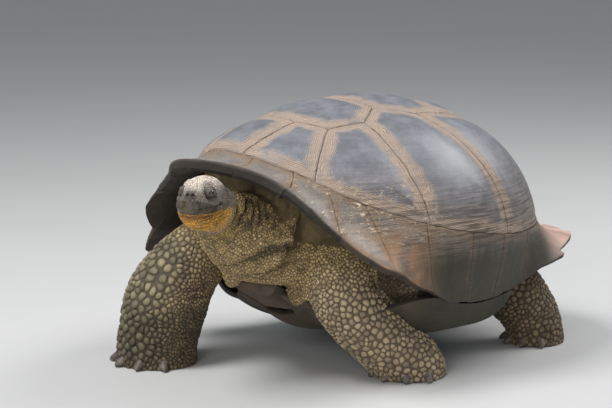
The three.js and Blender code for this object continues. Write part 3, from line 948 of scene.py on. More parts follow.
@dataclass
class NodeTree:
    """A node tree with short ways to add, join and set its nodes."""

    tree: bpy.types.NodeTree

    def add(self, kind: str, **settings: object) -> Node:
        """Adds a node and sets its properties."""
        node = self.tree.nodes.new(kind)
        for name, value in settings.items():
            setattr(node, name, value)
        return node

    def put(self, value: object, socket: bpy.types.NodeSocket) -> None:
        """Links an output to a socket, or sets the socket's own value."""
        if isinstance(value, bpy.types.NodeSocket):
            self.tree.links.new(value, socket)
        elif isinstance(value, tuple) and len(value) == 3 and socket.type == "RGBA":
            socket.default_value = (*value, 1.0)
        else:
            socket.default_value = value

    def feed(self, node: Node, values: dict[str | int, object]) -> Node:
        """Puts values or outputs into a node's inputs."""
        for name, value in values.items():
            self.put(value, node.inputs[name])
        return node

    def result(
        self, kind: str, output: str | int, values: dict[str | int, object], **settings: object
    ) -> object:
        """Adds a node, feeds it and gives one of its outputs."""
        return self.feed(self.add(kind, **settings), values).outputs[output]

    def math(self, operation: str, a: object, b: object = 0.5, c: object = 0.0) -> object:
        """A Math node's result."""
        return self.result("ShaderNodeMath", 0, {0: a, 1: b, 2: c}, operation=operation)

    def times(self, a: object, b: object) -> object:
        """A product."""
        return self.math("MULTIPLY", a, b)

    def fused(self, a: object, b: object, c: object) -> object:
        """A product and a sum."""
        return self.math("MULTIPLY_ADD", a, b, c)

    def most(self, a: object, b: object) -> object:
        """The larger of two numbers."""
        return self.math("MAXIMUM", a, b)

    def toned(self, colour: object, value: object) -> object:
        """A colour made brighter or darker."""
        return self.result("ShaderNodeHueSaturation", 0, {"Color": colour, "Value": value})

    def noise(self, vector: object, scale: float, detail: float = 3.0, rough: float = 0.55) -> object:
        """A Noise Texture's value."""
        values = {"Vector": vector, "Scale": scale, "Detail": detail, "Roughness": rough}
        return self.result("ShaderNodeTexNoise", "Fac", values)

    def cells(self, vector: object, scale: float, feature: str = "DISTANCE_TO_EDGE") -> object:
        """A Voronoi Texture's distance."""
        values = {"Vector": vector, "Scale": scale}
        return self.result("ShaderNodeTexVoronoi", "Distance", values, feature=feature)

    def stretch(self, vector: object, scale: tuple[float, float, float]) -> object:
        """A vector scaled along its axes."""
        return self.result("ShaderNodeMapping", 0, {"Vector": vector, "Scale": scale})

    def band(self, value: object, low: float, high: float, out: tuple[float, float] = (0, 1)) -> object:
        """A value taken smoothly from one range to another and held there."""
        values = {"Value": value, "From Min": low, "From Max": high, "To Min": out[0], "To Max": out[1]}
        return self.result("ShaderNodeMapRange", "Result", values, interpolation_type="SMOOTHSTEP")

    def blend(self, share: object, a: object, b: object, mode: str = "MIX") -> object:
        """Two colours mixed."""
        values = {0: share, 6: a, 7: b}
        return self.result("ShaderNodeMix", 2, values, data_type="RGBA", blend_type=mode)

    def place(self) -> object:
        """Object coordinates."""
        return self.add("ShaderNodeTexCoord").outputs["Object"]

    def axis(self, vector: object, name: str) -> object:
        """One axis of a vector."""
        return self.result("ShaderNodeSeparateXYZ", name, {0: vector})

    def attribute(self, name: str, output: str = "Fac") -> object:
        """A stored attribute of the piece."""
        return self.add("ShaderNodeAttribute", attribute_name=name).outputs[output]


def shader_group(
    name: str, inputs: Iterable[tuple[str, Sockets, object]], outputs: Iterable[tuple[str, Sockets]]
) -> tuple[NodeTree, Node, Node]:
    """Starts a shader group.

    Args:
        name: the group's name.
        inputs: each input's name, kind and usual value.
        outputs: each output's name and kind.

    Returns:
        The tree and its input and output nodes.
    """
    tree = bpy.data.node_groups.new(name, "ShaderNodeTree")
    for label, kind, value in inputs:
        socket = tree.interface.new_socket(name=label, in_out="INPUT", socket_type=kind.value)
        if value is not None:
            socket.default_value = (*value, 1.0) if kind is Sockets.COLOUR else value
    for label, kind in outputs:
        tree.interface.new_socket(name=label, in_out="OUTPUT", socket_type=kind.value)
    made = NodeTree(tree)
    return made, made.add("NodeGroupInput"), made.add("NodeGroupOutput")


# ---- the soft body's form --------------------------------------------------------------------
Row5 = tuple[float, float, float, float, float]


@dataclass(frozen=True)
class Limb:
    """A tube of flesh along a path: x, y, z, half width across, half width fore and aft."""

    name: str
    rows: tuple[Row5, ...]
    samples: int = 90

    def sections(self, count: int) -> dict[str, Array]:
        """Places, directions and half widths along the path.

        Args:
            count: how many sections.

        Returns:
            Arrays named t, at, side, front, across and deep.
        """
        table = np.array(self.rows, float)
        p = table[:, :3]
        ext = np.concatenate([[2 * p[0] - p[1]], p, [2 * p[-1] - p[-2]]])
        last = len(p) - 1
        t = np.linspace(0.0, 1.0, count)
        k = t * last
        i = np.minimum(np.floor(k).astype(int), last - 1)
        w = (k - i)[:, None]
        p0, p1, p2, p3 = ext[i], ext[i + 1], ext[i + 2], ext[i + 3]
        d0, d1, d2 = (
            np.sqrt(np.linalg.norm(b - a, axis=1))[:, None] for a, b in ((p0, p1), (p1, p2), (p2, p3))
        )
        m1 = ((p1 - p0) / d0 - (p2 - p0) / (d0 + d1) + (p2 - p1) / d1) * d1
        m2 = ((p2 - p1) / d1 - (p3 - p1) / (d1 + d2) + (p3 - p2) / d2) * d1
        at = hermite(p1, m1, p2, m2, w)
        along = unit(np.gradient(at, axis=0))
        side = unit(np.cross(along, np.array([0.0, -1.0, 0.35])))
        keys = np.arange(last + 1.0)
        return {
            "t": t, "at": at, "side": side, "front": np.cross(side, along),
            "across": curve_through(keys, table[:, 3], k, False),
            "deep": curve_through(keys, table[:, 4], k, False),
        }

    def skin(self, around: int, count: int, floor: bool) -> tuple[Array, list]:
        """The tube as a closed mesh.

        Args:
            around: vertices in each ring.
            count: how many rings.
            floor: whether it is flattened at the ground.

        Returns:
            Its points in millimetres and its faces.
        """
        s = self.sections(count)
        turn = full_turn(around)
        ring = (
            s["at"][:, None]
            + s["side"][:, None] * (s["across"][:, None] * np.cos(turn))[..., None]
            + s["front"][:, None] * (s["deep"][:, None] * np.sin(turn))[..., None]
        )
        points = np.concatenate([s["at"][:1], ring.reshape(-1, 3), s["at"][-1:]])
        if floor:
            points[:, 2] = np.maximum(points[:, 2], 0.0)
        return points, outward(points, ring_faces(count, around))

    def locate(self, points: Array) -> tuple[Array, Array, Array, Array]:
        """Where points lie along and round the tube.

        Args:
            points: places in millimetres.

        Returns:
            Share along the path, angle round it, distance from it as a share of the tube's half
            width there, and distance along it in millimetres.
        """
        s = self.sections(self.samples)
        d2 = ((points[:, None, :] - s["at"][None]) ** 2).sum(-1)
        j = d2.argmin(1)
        v = points - s["at"][j]
        a = (v * s["side"][j]).sum(1) / s["across"][j]
        b = (v * s["front"][j]).sum(1) / s["deep"][j]
        run = np.concatenate([[0], np.cumsum(np.linalg.norm(np.diff(s["at"], axis=0), axis=1))])
        along = unit(np.gradient(s["at"], axis=0))[j]
        fine = (v * along).sum(1)
        ratio = np.sqrt(a * a + b * b + (fine / s["deep"][j]) ** 2 * ((j == 0) | (j == len(run) - 1)))
        return s["t"][j], np.arctan2(b, a), ratio, run[j] + fine


class Region(Enum):
    """Parts of the skin, each with its own scales and its own share of the unwrap."""

    FORELEG_RIGHT = 0
    FORELEG_LEFT = 1
    HINDLEG_LEFT = 2
    HINDLEG_RIGHT = 3
    NECK = 4
    HEAD = 5
    TAIL = 6
    TRUNK = 7


@dataclass(frozen=True)
class BodyForm:
    """Limbs, neck, tail, head and trunk, in millimetres in the body's own frame."""

    shell: ShellForm
    head: HeadForm
    lodge: float = 9.0
    limbs: tuple[Limb, ...] = (
        Limb("foreleg_right", (
            (-120, -300, 326, 76, 86), (-182, -360, 298, 80, 90), (-208, -424, 246, 92, 95),
            (-220, -476, 168, 111, 106), (-229, -499, 78, 106, 102), (-232, -505, 26, 106, 103),
            (-232, -507, -30, 103, 100))),
        Limb("foreleg_left", (
            (150, -226, 330, 80, 80), (204, -252, 278, 82, 84), (246, -270, 206, 79, 80),
            (278, -184, 112, 80, 82), (297, -114, 46, 84, 88), (302, -96, 14, 87, 92),
            (304, -88, -34, 85, 90))),
        Limb("hindleg_left", (
            (120, 250, 300, 80, 80), (172, 300, 225, 88, 86), (212, 362, 150, 84, 84),
            (236, 414, 72, 76, 78), (242, 424, 22, 76, 80), (243, 424, -30, 74, 78))),
        Limb("hindleg_right", (
            (-120, 250, 300, 80, 80), (-172, 240, 225, 88, 86), (-212, 220, 150, 84, 84),
            (-236, 202, 72, 76, 78), (-242, 196, 22, 76, 80), (-243, 194, -30, 74, 78))),
    )
    neck: Limb = Limb("neck", (
        (46, -210, 296, 196, 108), (42, -318, 322, 186, 104), (36, -406, 358, 136, 108),
        (56, -484, 404, 86, 88), (84, -544, 446, 64, 66), (100, -590, 466, 54, 54)))
    tail: Limb = Limb("tail", (
        (0, 330, 230, 46, 46), (0, 400, 190, 40, 40), (-8, 452, 140, 26, 26),
        (-14, 474, 96, 9, 9)))

    def head_skin(self, around: int = 56, count: int = 60) -> tuple[Array, list]:
        """The head as a closed mesh, before its face is shaped.

        Args:
            around: vertices in each ring.
            count: how many rings.

        Returns:
            Its points in millimetres and its faces.
        """
        table = np.array(self.head.rows, float)
        ahead = table[0, 0] + (table[-1, 0] - table[0, 0]) * np.linspace(0, 1, count) ** 0.9
        wide, high, low = (curve_through(table[:, 0], table[:, k], ahead, False) for k in (1, 2, 3))
        turn = full_turn(around)
        c, n = np.cos(turn), np.sin(turn)
        shape_out = np.sign(c) * np.abs(c) ** 0.9 * np.where(n > 0, 1.0 - 0.14 * n, 1.0)
        shape_up = np.sign(n) * np.abs(n) ** 0.93
        out = wide[:, None] * shape_out
        up = np.where(n > 0, high[:, None], low[:, None]) * shape_up
        ring = np.stack([np.broadcast_to(ahead[:, None], out.shape), out, up], -1)
        poles = np.array([[ahead[0] - 4, 0, 6.0]]), np.array([[ahead[-1] + 2, 0, 6.0]])
        points = self.head.to_body(np.concatenate([poles[0], ring.reshape(-1, 3), poles[1]]))
        return points, outward(points, ring_faces(count, around))

    def trunk_skin(self, around: int = 96) -> tuple[Array, list]:
        """The trunk under the plates and across the openings, as a closed mesh.

        Args:
            around: vertices in each ring.

        Returns:
            Its points in millimetres and its faces.
        """
        bearing = np.arange(around) / around * 360.0
        bearing = np.where(bearing > 180.0, bearing - 360.0, bearing)
        shell, rows = self.shell, []
        for w in np.linspace(0.0, 0.74, 10):
            sunk = 15.0 + self.lodge + 26.0 * float(1 - smoothstep(w, 0.5, 0.74))
            rows.append(shell.offset(shell.dome, polar(bearing, max(w, 1e-3)), -sunk))
        wide = np.abs(bearing)
        bridge = smoothstep(wide, 58, 72) * (1 - smoothstep(wide, 112, 124))
        lip = 0.93 - 0.18 * (1 - smoothstep(wide, 8, 24)) - 0.06 * smoothstep(wide, 60, 80)
        foot = shell.offset(shell.belly, polar(bearing, lip), 16 + self.lodge)
        top = shell.offset(shell.dome, polar(bearing, shell.seam - 0.01), -30 - self.lodge)
        for t in np.linspace(0.0, 0.94, 12):
            q = polar(bearing, shell.seam + (1 - shell.seam) * 0.86 * t)
            walled = shell.offset(shell.dome, q, -31.0)
            free = top + (foot - top) * (t * t * (1.4 - 0.4 * t))
            free[:, :2] *= 1.0 - 0.05 * math.sin(math.pi * t)
            rows.append(mix(free, walled, bridge))
        for w in np.linspace(1.0, 1e-3, 9)[1:]:
            rows.append(shell.offset(shell.belly, polar(bearing, lip * w), 16 + self.lodge))
        rings = np.stack(rows)
        points = np.concatenate([rings[0].mean(0)[None], rings[1:-1].reshape(-1, 3), rings[-1].mean(0)[None]])
        points = shell.lean(points)
        return points, outward(points, ring_faces(len(rings) - 2, around))

    def parts(self) -> list[tuple[Array, list]]:
        """Every part of the flesh as a closed mesh.

        Returns:
            Points and faces of each part.
        """
        found = [self.trunk_skin(), self.head_skin(), self.neck.skin(64, 40, False)]
        found += [limb.skin(56, 48, True) for limb in self.limbs]
        found.append(self.tail.skin(32, 24, False))
        return found


@dataclass
class Where:
    """Where each vertex of the skin lies on the animal."""

    body: Array
    region: Array
    along: Array
    turn: Array
    run: Array
    head: Array
    ratio: dict[str, Array]

    @classmethod
    def of(cls, form: BodyForm, body: Array) -> "Where":
        """Sorts places on the skin into regions.

        Args:
            form: the body's form.
            body: places in millimetres in the body's frame.

        Returns:
            The record of where they lie.
        """
        local = form.head.to_local(body)
        tubes = {
            Region.FORELEG_RIGHT: form.limbs[0], Region.FORELEG_LEFT: form.limbs[1],
            Region.HINDLEG_LEFT: form.limbs[2], Region.HINDLEG_RIGHT: form.limbs[3],
            Region.NECK: form.neck, Region.TAIL: form.tail,
        }
        region = np.full(len(body), Region.TRUNK.value)
        best = np.full(len(body), 1.16)
        along, turn, run = (np.zeros(len(body)) for _ in range(3))
        ratio = {}
        for key, limb in tubes.items():
            t, a, r, d = limb.locate(body)
            ratio[limb.name] = r
            hit = r < best
            region[hit], best[hit] = key.value, r[hit]
            along[hit], turn[hit], run[hit] = t[hit], a[hit], d[hit]
        table = np.array(form.head.rows, float)
        wide = np.interp(local[:, 0], table[:, 0], table[:, 1])
        high = np.interp(local[:, 0], table[:, 0], (table[:, 2] + table[:, 3]) / 2)
        r = np.hypot(local[:, 1] / wide, local[:, 2] / high)
        hit = (local[:, 0] > -74) & (local[:, 0] < 100) & (r < 1.35)
        ratio["head"] = r
        region[hit] = Region.HEAD.value
        along[hit] = np.clip((local[hit, 0] + 84) / 176, 0, 1)
        turn[hit] = np.arctan2(local[hit, 2], local[hit, 1])
        run[hit] = local[hit, 0]
        loose = region == Region.TRUNK.value
        bearing = np.arctan2(body[loose, 0], -body[loose, 1])
        turn[loose] = bearing
        along[loose] = np.clip(body[loose, 2] / 700.0, 0, 1)
        run[loose] = body[loose, 2]
        return cls(body, region, along, turn, run, local, ratio)

    def unwrap(self) -> Array:
        """Each place on an unwrap of the skin, region by region.

        Returns:
            Two coordinates from 0 to 1 for each place.
        """
        sheets = {
            Region.FORELEG_RIGHT: (0.0, 0.5, 0.25, 0.5), Region.FORELEG_LEFT: (0.25, 0.5, 0.25, 0.5),
            Region.HINDLEG_LEFT: (0.5, 0.5, 0.25, 0.5), Region.HINDLEG_RIGHT: (0.75, 0.5, 0.25, 0.5),
            Region.NECK: (0.0, 0.0, 0.4, 0.5), Region.HEAD: (0.4, 0.0, 0.3, 0.5),
            Region.TAIL: (0.7, 0.0, 0.1, 0.5), Region.TRUNK: (0.8, 0.0, 0.2, 0.5),
        }
        uv = np.zeros((len(self.body), 2))
        for key, (u, v, w, h) in sheets.items():
            hit = self.region == key.value
            uv[hit, 0] = u + w * (0.03 + 0.94 * (self.turn[hit] / (2 * math.pi) + 0.5))
            uv[hit, 1] = v + h * (0.03 + 0.94 * self.along[hit])
        return np.clip(uv, 0.004, 0.996)

    def on(self, *regions: Region) -> Array:
        """1 for places in these regions, 0 elsewhere."""
        return np.isin(self.region, [r.value for r in regions]).astype(float)

    def forelegs(self) -> Array:
        """1 for places on a foreleg, 0 elsewhere."""
        return self.on(Region.FORELEG_LEFT, Region.FORELEG_RIGHT)

    def hindlegs(self) -> Array:
        """1 for places on a hind leg, 0 elsewhere."""
        return self.on(Region.HINDLEG_LEFT, Region.HINDLEG_RIGHT)


def srgb(code: str) -> Colour:
    """A written colour as linear light.

    Args:
        code: six hexadecimal digits.

    Returns:
        Red, green and blue.
    """
    parts = (int(code[i : i + 2], 16) / 255 for i in (0, 2, 4))
    return tuple(c / 12.92 if c <= 0.04045 else ((c + 0.055) / 1.055) ** 2.4 for c in parts)


def dyed(out: Array, colour: Colour, share: Array) -> Array:
    """Colours, row by row, with one colour laid over them."""
    return mix(out, np.array(colour)[None], share)


@dataclass(frozen=True)
class HideColours:
    """The hide's colours by part of the body, among them painted shade and painted light."""

    body: Colour = srgb("a18a58")
    neck: Colour = srgb("a88f62")
    throat: Colour = srgb("8d7a3a")
    chin: Colour = srgb("e6a838")
    # painted shade: a darker band laid along the chin's crease
    chin_fold_shade: Colour = srgb("a3662a")
    # paler top of the head: partly the head's own cream colour and partly painted light from above
    head_top_and_light: Colour = srgb("dccebf")
    face: Colour = srgb("787065")
    lid: Colour = srgb("80766a")
    fore_scale: Colour = srgb("786e55")
    fore_inner: Colour = srgb("836d4f")
    # paler left foreleg: partly its own colour and partly painted light falling on it from above
    fore_left: Colour = srgb("a28e72")
    fore_low: Colour = srgb("47402a")
    hind: Colour = srgb("6f5e46")
    spot: Colour = srgb("c08a56")
    # painted shade: dark colour laid in creases, along the mouth, in the nostrils and on the trunk under the
    # shell
    recess_shade: Colour = srgb("2e261c")

    def paint(self, where: Where) -> Array:
        """The hide's colour at each place.

        Args:
            where: where the places lie.

        Returns:
            A colour for each place.
        """
        place = where.body * MM
        out = np.tile(np.array(self.body), (len(place), 1))
        patch = 0.5 + 0.5 * fractal(place, 0.06, 41)
        head, legs = where.on(Region.HEAD), where.forelegs()
        hind = where.on(Region.HINDLEG_LEFT, Region.HINDLEG_RIGHT, Region.TAIL)
        for colour, share in self.head_layers(where, place, head, patch):
            out = dyed(out, colour, share)
        out = mix(out, self.foreleg(where), legs * smoothstep(where.along, 0.1, 0.36))
        # painted shade: the trunk's skin behind the front opening, under the shell, darkened toward the
        # recess colour
        shaded = where.on(Region.TRUNK) * smoothstep(place[:, 1], -0.26, -0.2)
        chest = (1 - head) * (1 - legs) * smoothstep(place[:, 1] * -1, 0.3, 0.42)
        spots = smoothstep(value_noise(place, 0.016, 51) + 0.5 * value_noise(place, 0.05, 52), 0.78, 0.95)
        spots = chest * spots * bump(place[:, 2], 0.34, 0.07) * 0.8
        for colour, share in ((self.recess_shade, 0.85 * shaded), (self.hind, hind), (self.spot, spots)):
            out = dyed(out, colour, share)
        return out * (0.9 + 0.2 * patch)[:, None]

    def head_layers(
        self, where: Where, place: Array, head: Array, patch: Array
    ) -> list[tuple[Colour, Array]]:
        """The colours of neck and head in the order they are laid, each with its share.

        Args:
            where: where the places lie.
            place: the places in metres.
            head: 1 on the head, 0 elsewhere.
            patch: broad mottling from 0 to 1.

        Returns:
            Pairs of a colour and its share at each place.
        """
        ahead, _, up = where.head.T
        m = HeadForm.one_side(where.head)
        under = smoothstep(-up, -6, 26) * smoothstep(ahead, -120, -30)
        near = 1 - smoothstep(where.ratio["head"], 1.5, 2.6)
        back = smoothstep(-ahead, 10, 60) * head * smoothstep(-up, -30, 10)
        chin = head * smoothstep(-up, 4, 15) * smoothstep(ahead, -46, 0)
        near_eye = 1 - smoothstep(np.linalg.norm(m - np.array(HeadForm.eye_at), axis=1), 12, 23)
        lips = bump(up, 1 + 0.09 * np.maximum(60 - ahead, 0), 3.4) * smoothstep(ahead, 2, 14)
        nose = 1 - smoothstep(np.linalg.norm(m - np.array(HeadForm.nostril), axis=1), 3, 8)
        fleck = smoothstep(value_noise(place, 0.011, 53) + 0.4 * value_noise(place, 0.03, 54), 0.15, 0.6)
        return [
            (self.neck, where.on(Region.NECK) * 0.9),
            (self.throat, np.clip(under * near * (0.55 + 0.5 * patch), 0, 1)),
            # the pale top of the head is partly its own colour and partly painted light from above
            (self.face, head), (self.head_top_and_light, head * smoothstep(up + 9 * patch, 36, 60)),
            (self.throat, back * 0.5), (self.chin, np.clip(chin * (0.6 + 0.5 * patch), 0, 1)),
            # painted shade: the mouth line and the nostrils darkened with the recess colour
            (self.lid, 0.85 * near_eye * head), (self.recess_shade, 0.9 * lips * head),
            (self.recess_shade, 0.9 * nose * head), (self.throat, 0.75 * fleck * chin),
            # painted shade: the darker band along the chin's crease
            (self.chin_fold_shade, chin * bump(up, -21, 4) * smoothstep(ahead, 20, 60)),
        ]

    def foreleg(self, where: Where) -> Array:
        """The forelegs' colour: paler on the left one, partly its own colour and partly painted light from
        above; darker low down on the right.

        Args:
            where: where the places lie.

        Returns:
            A colour for each place.
        """
        grey = np.clip(0.15 + self.face_on(where), 0, 1)
        leg = mix(np.array(self.fore_inner)[None], np.array(self.fore_scale)[None], grey)
        left = where.on(Region.FORELEG_LEFT)
        # painted light in part: the left foreleg made paler
        leg = dyed(leg, self.fore_left, 0.75 * left)
        low = (1 - left) * smoothstep(-where.body[:, 2], -190, -120)
        return dyed(leg, self.fore_low, 0.75 * low)

    @staticmethod
    def face_on(where: Where) -> Array:
        """How far a place on a leg faces forward and out, where its scales are large.

        Args:
            where: where the places lie.

        Returns:
            A number from 0 to 1 for each place.
        """
        left = where.on(Region.FORELEG_LEFT, Region.HINDLEG_LEFT)
        out = np.where(left > 0, -np.cos(where.turn), np.cos(where.turn))
        ahead = np.sin(where.turn)
        return smoothstep(0.62 * ahead + 0.62 * out, -0.5, 0.45)


@dataclass
class Skin:
    """One skin over all the flesh, with its folds, face and lids."""

    form: BodyForm
    placing: Placing
    colours: HideColours
    voxel: float = 5.2
    most: int = 205_000
    gular_top: float = 243.0
    gular_middle: float = 52.0
    gular_half: tuple[float, float] = (70.0, 112.0)
    floor_gap: float = 1.0
    trunk_half: tuple[float, float] = (430.0, 520.0)
    stray: float = 12.0
    # folds of the throat sack: height, depth and half width
    sack: tuple[tuple[float, float, float], ...] = (
        (318.0, 9.0, 7.0), (284.0, 7.0, 6.0), (258.0, 6.0, 5.0),
    )
    # brow, its fore end, jaw muscle, snout, hollow ahead of the eye, cheek: rise, middle and width
    humps: tuple[tuple[float, tuple[float, float, float], float], ...] = (
        (3.6, (30, 24, 60), 15), (2.6, (54, 18, 50), 11), (3.0, (-30, 62, 0), 26),
        (2.0, (78, 8, 30), 9), (-2.2, (52, 40, 22), 12), (2.0, (12, 55, 12), 16),
    )
    # creases under the chin: height and depth
    chin: tuple[tuple[float, float], ...] = ((-15, 3.4), (-24, 4.2), (-34, 3.6), (-45, 3.2), (-56, 3.0))

    def build(self, finish: Material) -> Object:
        """Builds the skin and dresses it.

        Args:
            finish: the hide.

        Returns:
            The skin, which stands for every node of flesh.
        """
        piece = self.joined()
        self.refine(piece.data)
        self.thin_hidden(piece)
        plain = self.placing.body(points_of(piece.data))
        body = self.folded(plain, normals_of(piece.data))
        deep = raised(plain, body, piece.data)
        self.clear_gular(body)
        body[:, 2] = np.maximum(body[:, 2], self.floor_gap)
        set_points(piece.data, self.placing.row(body))
        plain = body
        body = self.faced(body, normals_of(piece.data))
        set_points(piece.data, self.placing.row(body))
        sunk = raised(plain, body, piece.data)
        deep = np.where(self.form.head.to_local(plain)[:, 0] > -70, np.minimum(deep, sunk * 1.4), deep)
        where = Where.of(self.form, body)
        set_vectors(piece.data, "hide", self.colours.paint(where))
        set_numbers(piece.data, "wet", 1.0 - smoothstep(self.form.head.from_eye(where.head), 12, 15))
        # painted shade: 'deep' grows with how far folds and the face's hollows sink the skin; the hide and
        # scale finishes darken creases by it, less on the loose lower skin
        loose = where.on(Region.NECK, Region.TRUNK, Region.FORELEG_LEFT) * smoothstep(-body[:, 2], -350, -300)
        set_numbers(piece.data, "deep", smoothstep(-deep / (1 + 1.6 * loose), 0.5, 6.0))
        piece.data.polygons.foreach_set("use_smooth", [True] * len(piece.data.polygons))
        piece.data.materials.clear()
        piece.data.materials.append(finish)
        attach(piece, BODY)
        legs = [limb.name for limb in self.form.limbs]
        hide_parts("trunk", "chest", "neck", "head", "lower_jaw", "tail", *legs)
        return piece

    def clear_gular(self, body: Array) -> None:
        """Lifts the skin of the chest off the gular plate, which pokes out below it.

        Args:
            body: the skin's places in millimetres, which are moved.
        """
        near, far = self.gular_half
        lifted = smoothstep(-np.abs(body[:, 0] - self.gular_middle), -far, -near)
        lifted *= smoothstep(-body[:, 1], 285, 330)
        lifted *= 1 - Where.of(self.form, body).forelegs()
        body[:, 2] += lifted * np.maximum(self.gular_top - body[:, 2], 0.0) * 0.96
        body[:, 1] += lifted * 16.0 * bump(body[:, 2], self.gular_top, 16.0)

    def joined(self) -> Object:
        """The parts of the flesh made one closed mesh and smoothed at their joins.

        Returns:
            The joined flesh.
        """
        points, faces = gathered(self.form.parts())
        piece = new_piece("hide", self.placing.row(points), faces)
        remesh = piece.modifiers.new("one", "REMESH")
        remesh.mode, remesh.voxel_size = "VOXEL", self.voxel * MM
        smooth = piece.modifiers.new("soft", "SMOOTH")
        smooth.iterations, smooth.factor = 7, 0.5
        self.apply(piece)
        return piece

    @staticmethod
    def apply(piece: Object) -> None:
        """Turns a piece's modifiers into plain mesh.

        Args:
            piece: the piece.
        """
        evaluated = piece.evaluated_get(bpy.context.evaluated_depsgraph_get())
        mesh = bpy.data.meshes.new_from_object(evaluated)
        piece.modifiers.clear()
        old, piece.data = piece.data, mesh
        bpy.data.meshes.remove(old)

    def refine(self, mesh: Mesh) -> None:
        """Divides the faces of the head once, and those round eyes, nostrils and mouth twice.

        Args:
            mesh: the skin.
        """
        head = self.form.head
        for level in range(2):
            bm = bmesh.new()
            bm.from_mesh(mesh)
            bm.verts.ensure_lookup_table()
            local = head.to_local(self.placing.body([v.co[:] for v in bm.verts]))
            ahead, out, up = local.T
            if level == 0:
                hit = (ahead > -70) & (np.abs(out) < 90) & (np.abs(up) < 95)
            else:
                mouth = (ahead > 8) & (np.abs(up + 2) < 9)
                nose = (ahead > 62) & (up > 20)
                hit = (head.from_eye(local) < 25) | mouth | nose
            edges = [e for e in bm.edges if hit[e.verts[0].index] and hit[e.verts[1].index]]
            bmesh.ops.subdivide_edges(bm, edges=edges, cuts=1, use_grid_fill=True, smooth=0.0)
            bm.to_mesh(mesh)
            bm.free()
        mesh.update()

    def reach(self, body: Array) -> Array:
        """How far out under the shell places lie, from 0 to 1 at the trunk's side."""
        return np.hypot(body[:, 0] / self.trunk_half[0], body[:, 1] / self.trunk_half[1])

    def thin_hidden(self, piece: Object) -> None:
        """Thins the part of the skin that the shell hides.

        Args:
            piece: the skin.
        """
        body = self.placing.body(points_of(piece.data))
        q, y, z = self.reach(body), body[:, 1], body[:, 2]
        hidden = (1 - smoothstep(q, 0.72, 0.84)) * smoothstep(z, 80, 130)
        hidden = np.maximum(hidden, (q < 0.7) * (z < 200) * (z > 80))
        hidden = np.maximum(hidden, (q < 1.0) * (z > 420) * (np.abs(y + 40) < 330))
        group = piece.vertex_groups.new(name="hidden")
        for i in np.flatnonzero(hidden > 0.5):
            group.add([int(i)], 1.0, "REPLACE")
        tris = triangles(piece)
        thin = piece.modifiers.new("thin", "DECIMATE")
        thin.ratio = min(1.0, self.most / tris)
        thin.vertex_group, thin.vertex_group_factor = "hidden", 1.0
        LOG.info("skin had %d triangles before thinning", tris)
        self.apply(piece)
        piece.vertex_groups.clear()
        after = self.placing.body(points_of(piece.data))
        tree = tree_of(body[::3])
        for i in np.flatnonzero(self.reach(after) < 0.95):
            at, _, off = tree.find(after[i])
            if off > self.stray:
                after[i] = at
        set_points(piece.data, self.placing.row(after))

    @staticmethod
    def ridges(p: Array, size: tuple[float, float, float], seed: int) -> Array:
        """Narrow creases between broad folds, from 0 to 1."""
        return (1.0 - np.minimum(np.abs(1.6 * fractal(p, size, seed, 2)), 1.0)) ** 3

    def folded(self, body: Array, normal: Array) -> Array:
        """Raises the folds and wrinkles.

        Args:
            body: the skin's places in millimetres.
            normal: its normals.

        Returns:
            The folded places.
        """
        where = Where.of(self.form, body)
        p = body * MM
        x, y, z = body.T
        neck, head = where.on(Region.NECK), where.on(Region.HEAD)
        legs = where.forelegs()
        hind = where.hindlegs()
        front = smoothstep(-y, 230, 330) * (1 - head)
        sway = 26.0 * fractal(p, 0.12, 60, 2)
        rise = np.zeros(len(p))
        # folds of the throat sack, then rolls of the nape
        for level, depth, wide in self.sack:
            line = level + 0.22 * np.abs(x - 70.0) + 0.16 * (y + 440.0) + sway
            rise -= depth * bump(z, line, wide) * front * (1 - legs) * smoothstep(-y, 300, 380)
            rise += 0.5 * depth * bump(z, line + 2.6 * wide, 1.6 * wide) * front * (1 - legs)
        wave = where.run / 30.0 + 0.7 * fractal(p, 0.08, 61)
        rolls = (1.0 - np.abs(np.sin(math.pi * wave))) ** 2
        nape = neck * smoothstep(where.along, 0.45, 0.62) * smoothstep(z, 390, 445)
        rise -= 13.0 * rolls * nape
        # upright creases of the chest and level ones below them
        upright = self.ridges(p, (0.013, 0.013, 0.10), 63)
        rise -= 4.6 * upright * front * (1 - legs) * smoothstep(z, 290, 350)
        across = self.ridges(p, (0.09, 0.09, 0.018), 64)
        rise -= 5.0 * across * front * (1 - legs) * (1 - smoothstep(z, 270, 330))
        # long creases of the web that runs down into the left foreleg
        d = unit(np.array([110.0, 150.0, -230.0]))
        e = unit(np.cross(d, np.array([1.0, -0.6, 0.2])))
        turned = np.stack([p @ d, p @ e, p @ np.cross(d, e)], -1)
        web = front * smoothstep(x - 0.25 * (z - 340), 130, 185)
        web *= 1 - legs * smoothstep(where.along, 0.3, 0.5)
        rise -= 5.0 * self.ridges(turned, (0.6, 0.02, 0.02), 65) * web
        # creases round knees and ankles, then broad unevenness
        inner = 1 - HideColours.face_on(where)
        knee = bump(where.along, 0.45, 0.16) * (0.25 + 0.75 * inner)
        ankle = bump(where.along, 0.8, 0.14)
        rings = self.ridges(p, (0.08, 0.08, 0.016), 66)
        rise -= 4.6 * rings * (knee + 0.8 * ankle) * np.maximum(legs, hind)
        rise += 2.2 * fractal(p, 0.045, 67, 2) * (1 - head)
        rise *= smoothstep(z, 2, 30) * smoothstep(where.ratio["head"], 1.02, 1.25)
        return body + normal * rise[:, None]

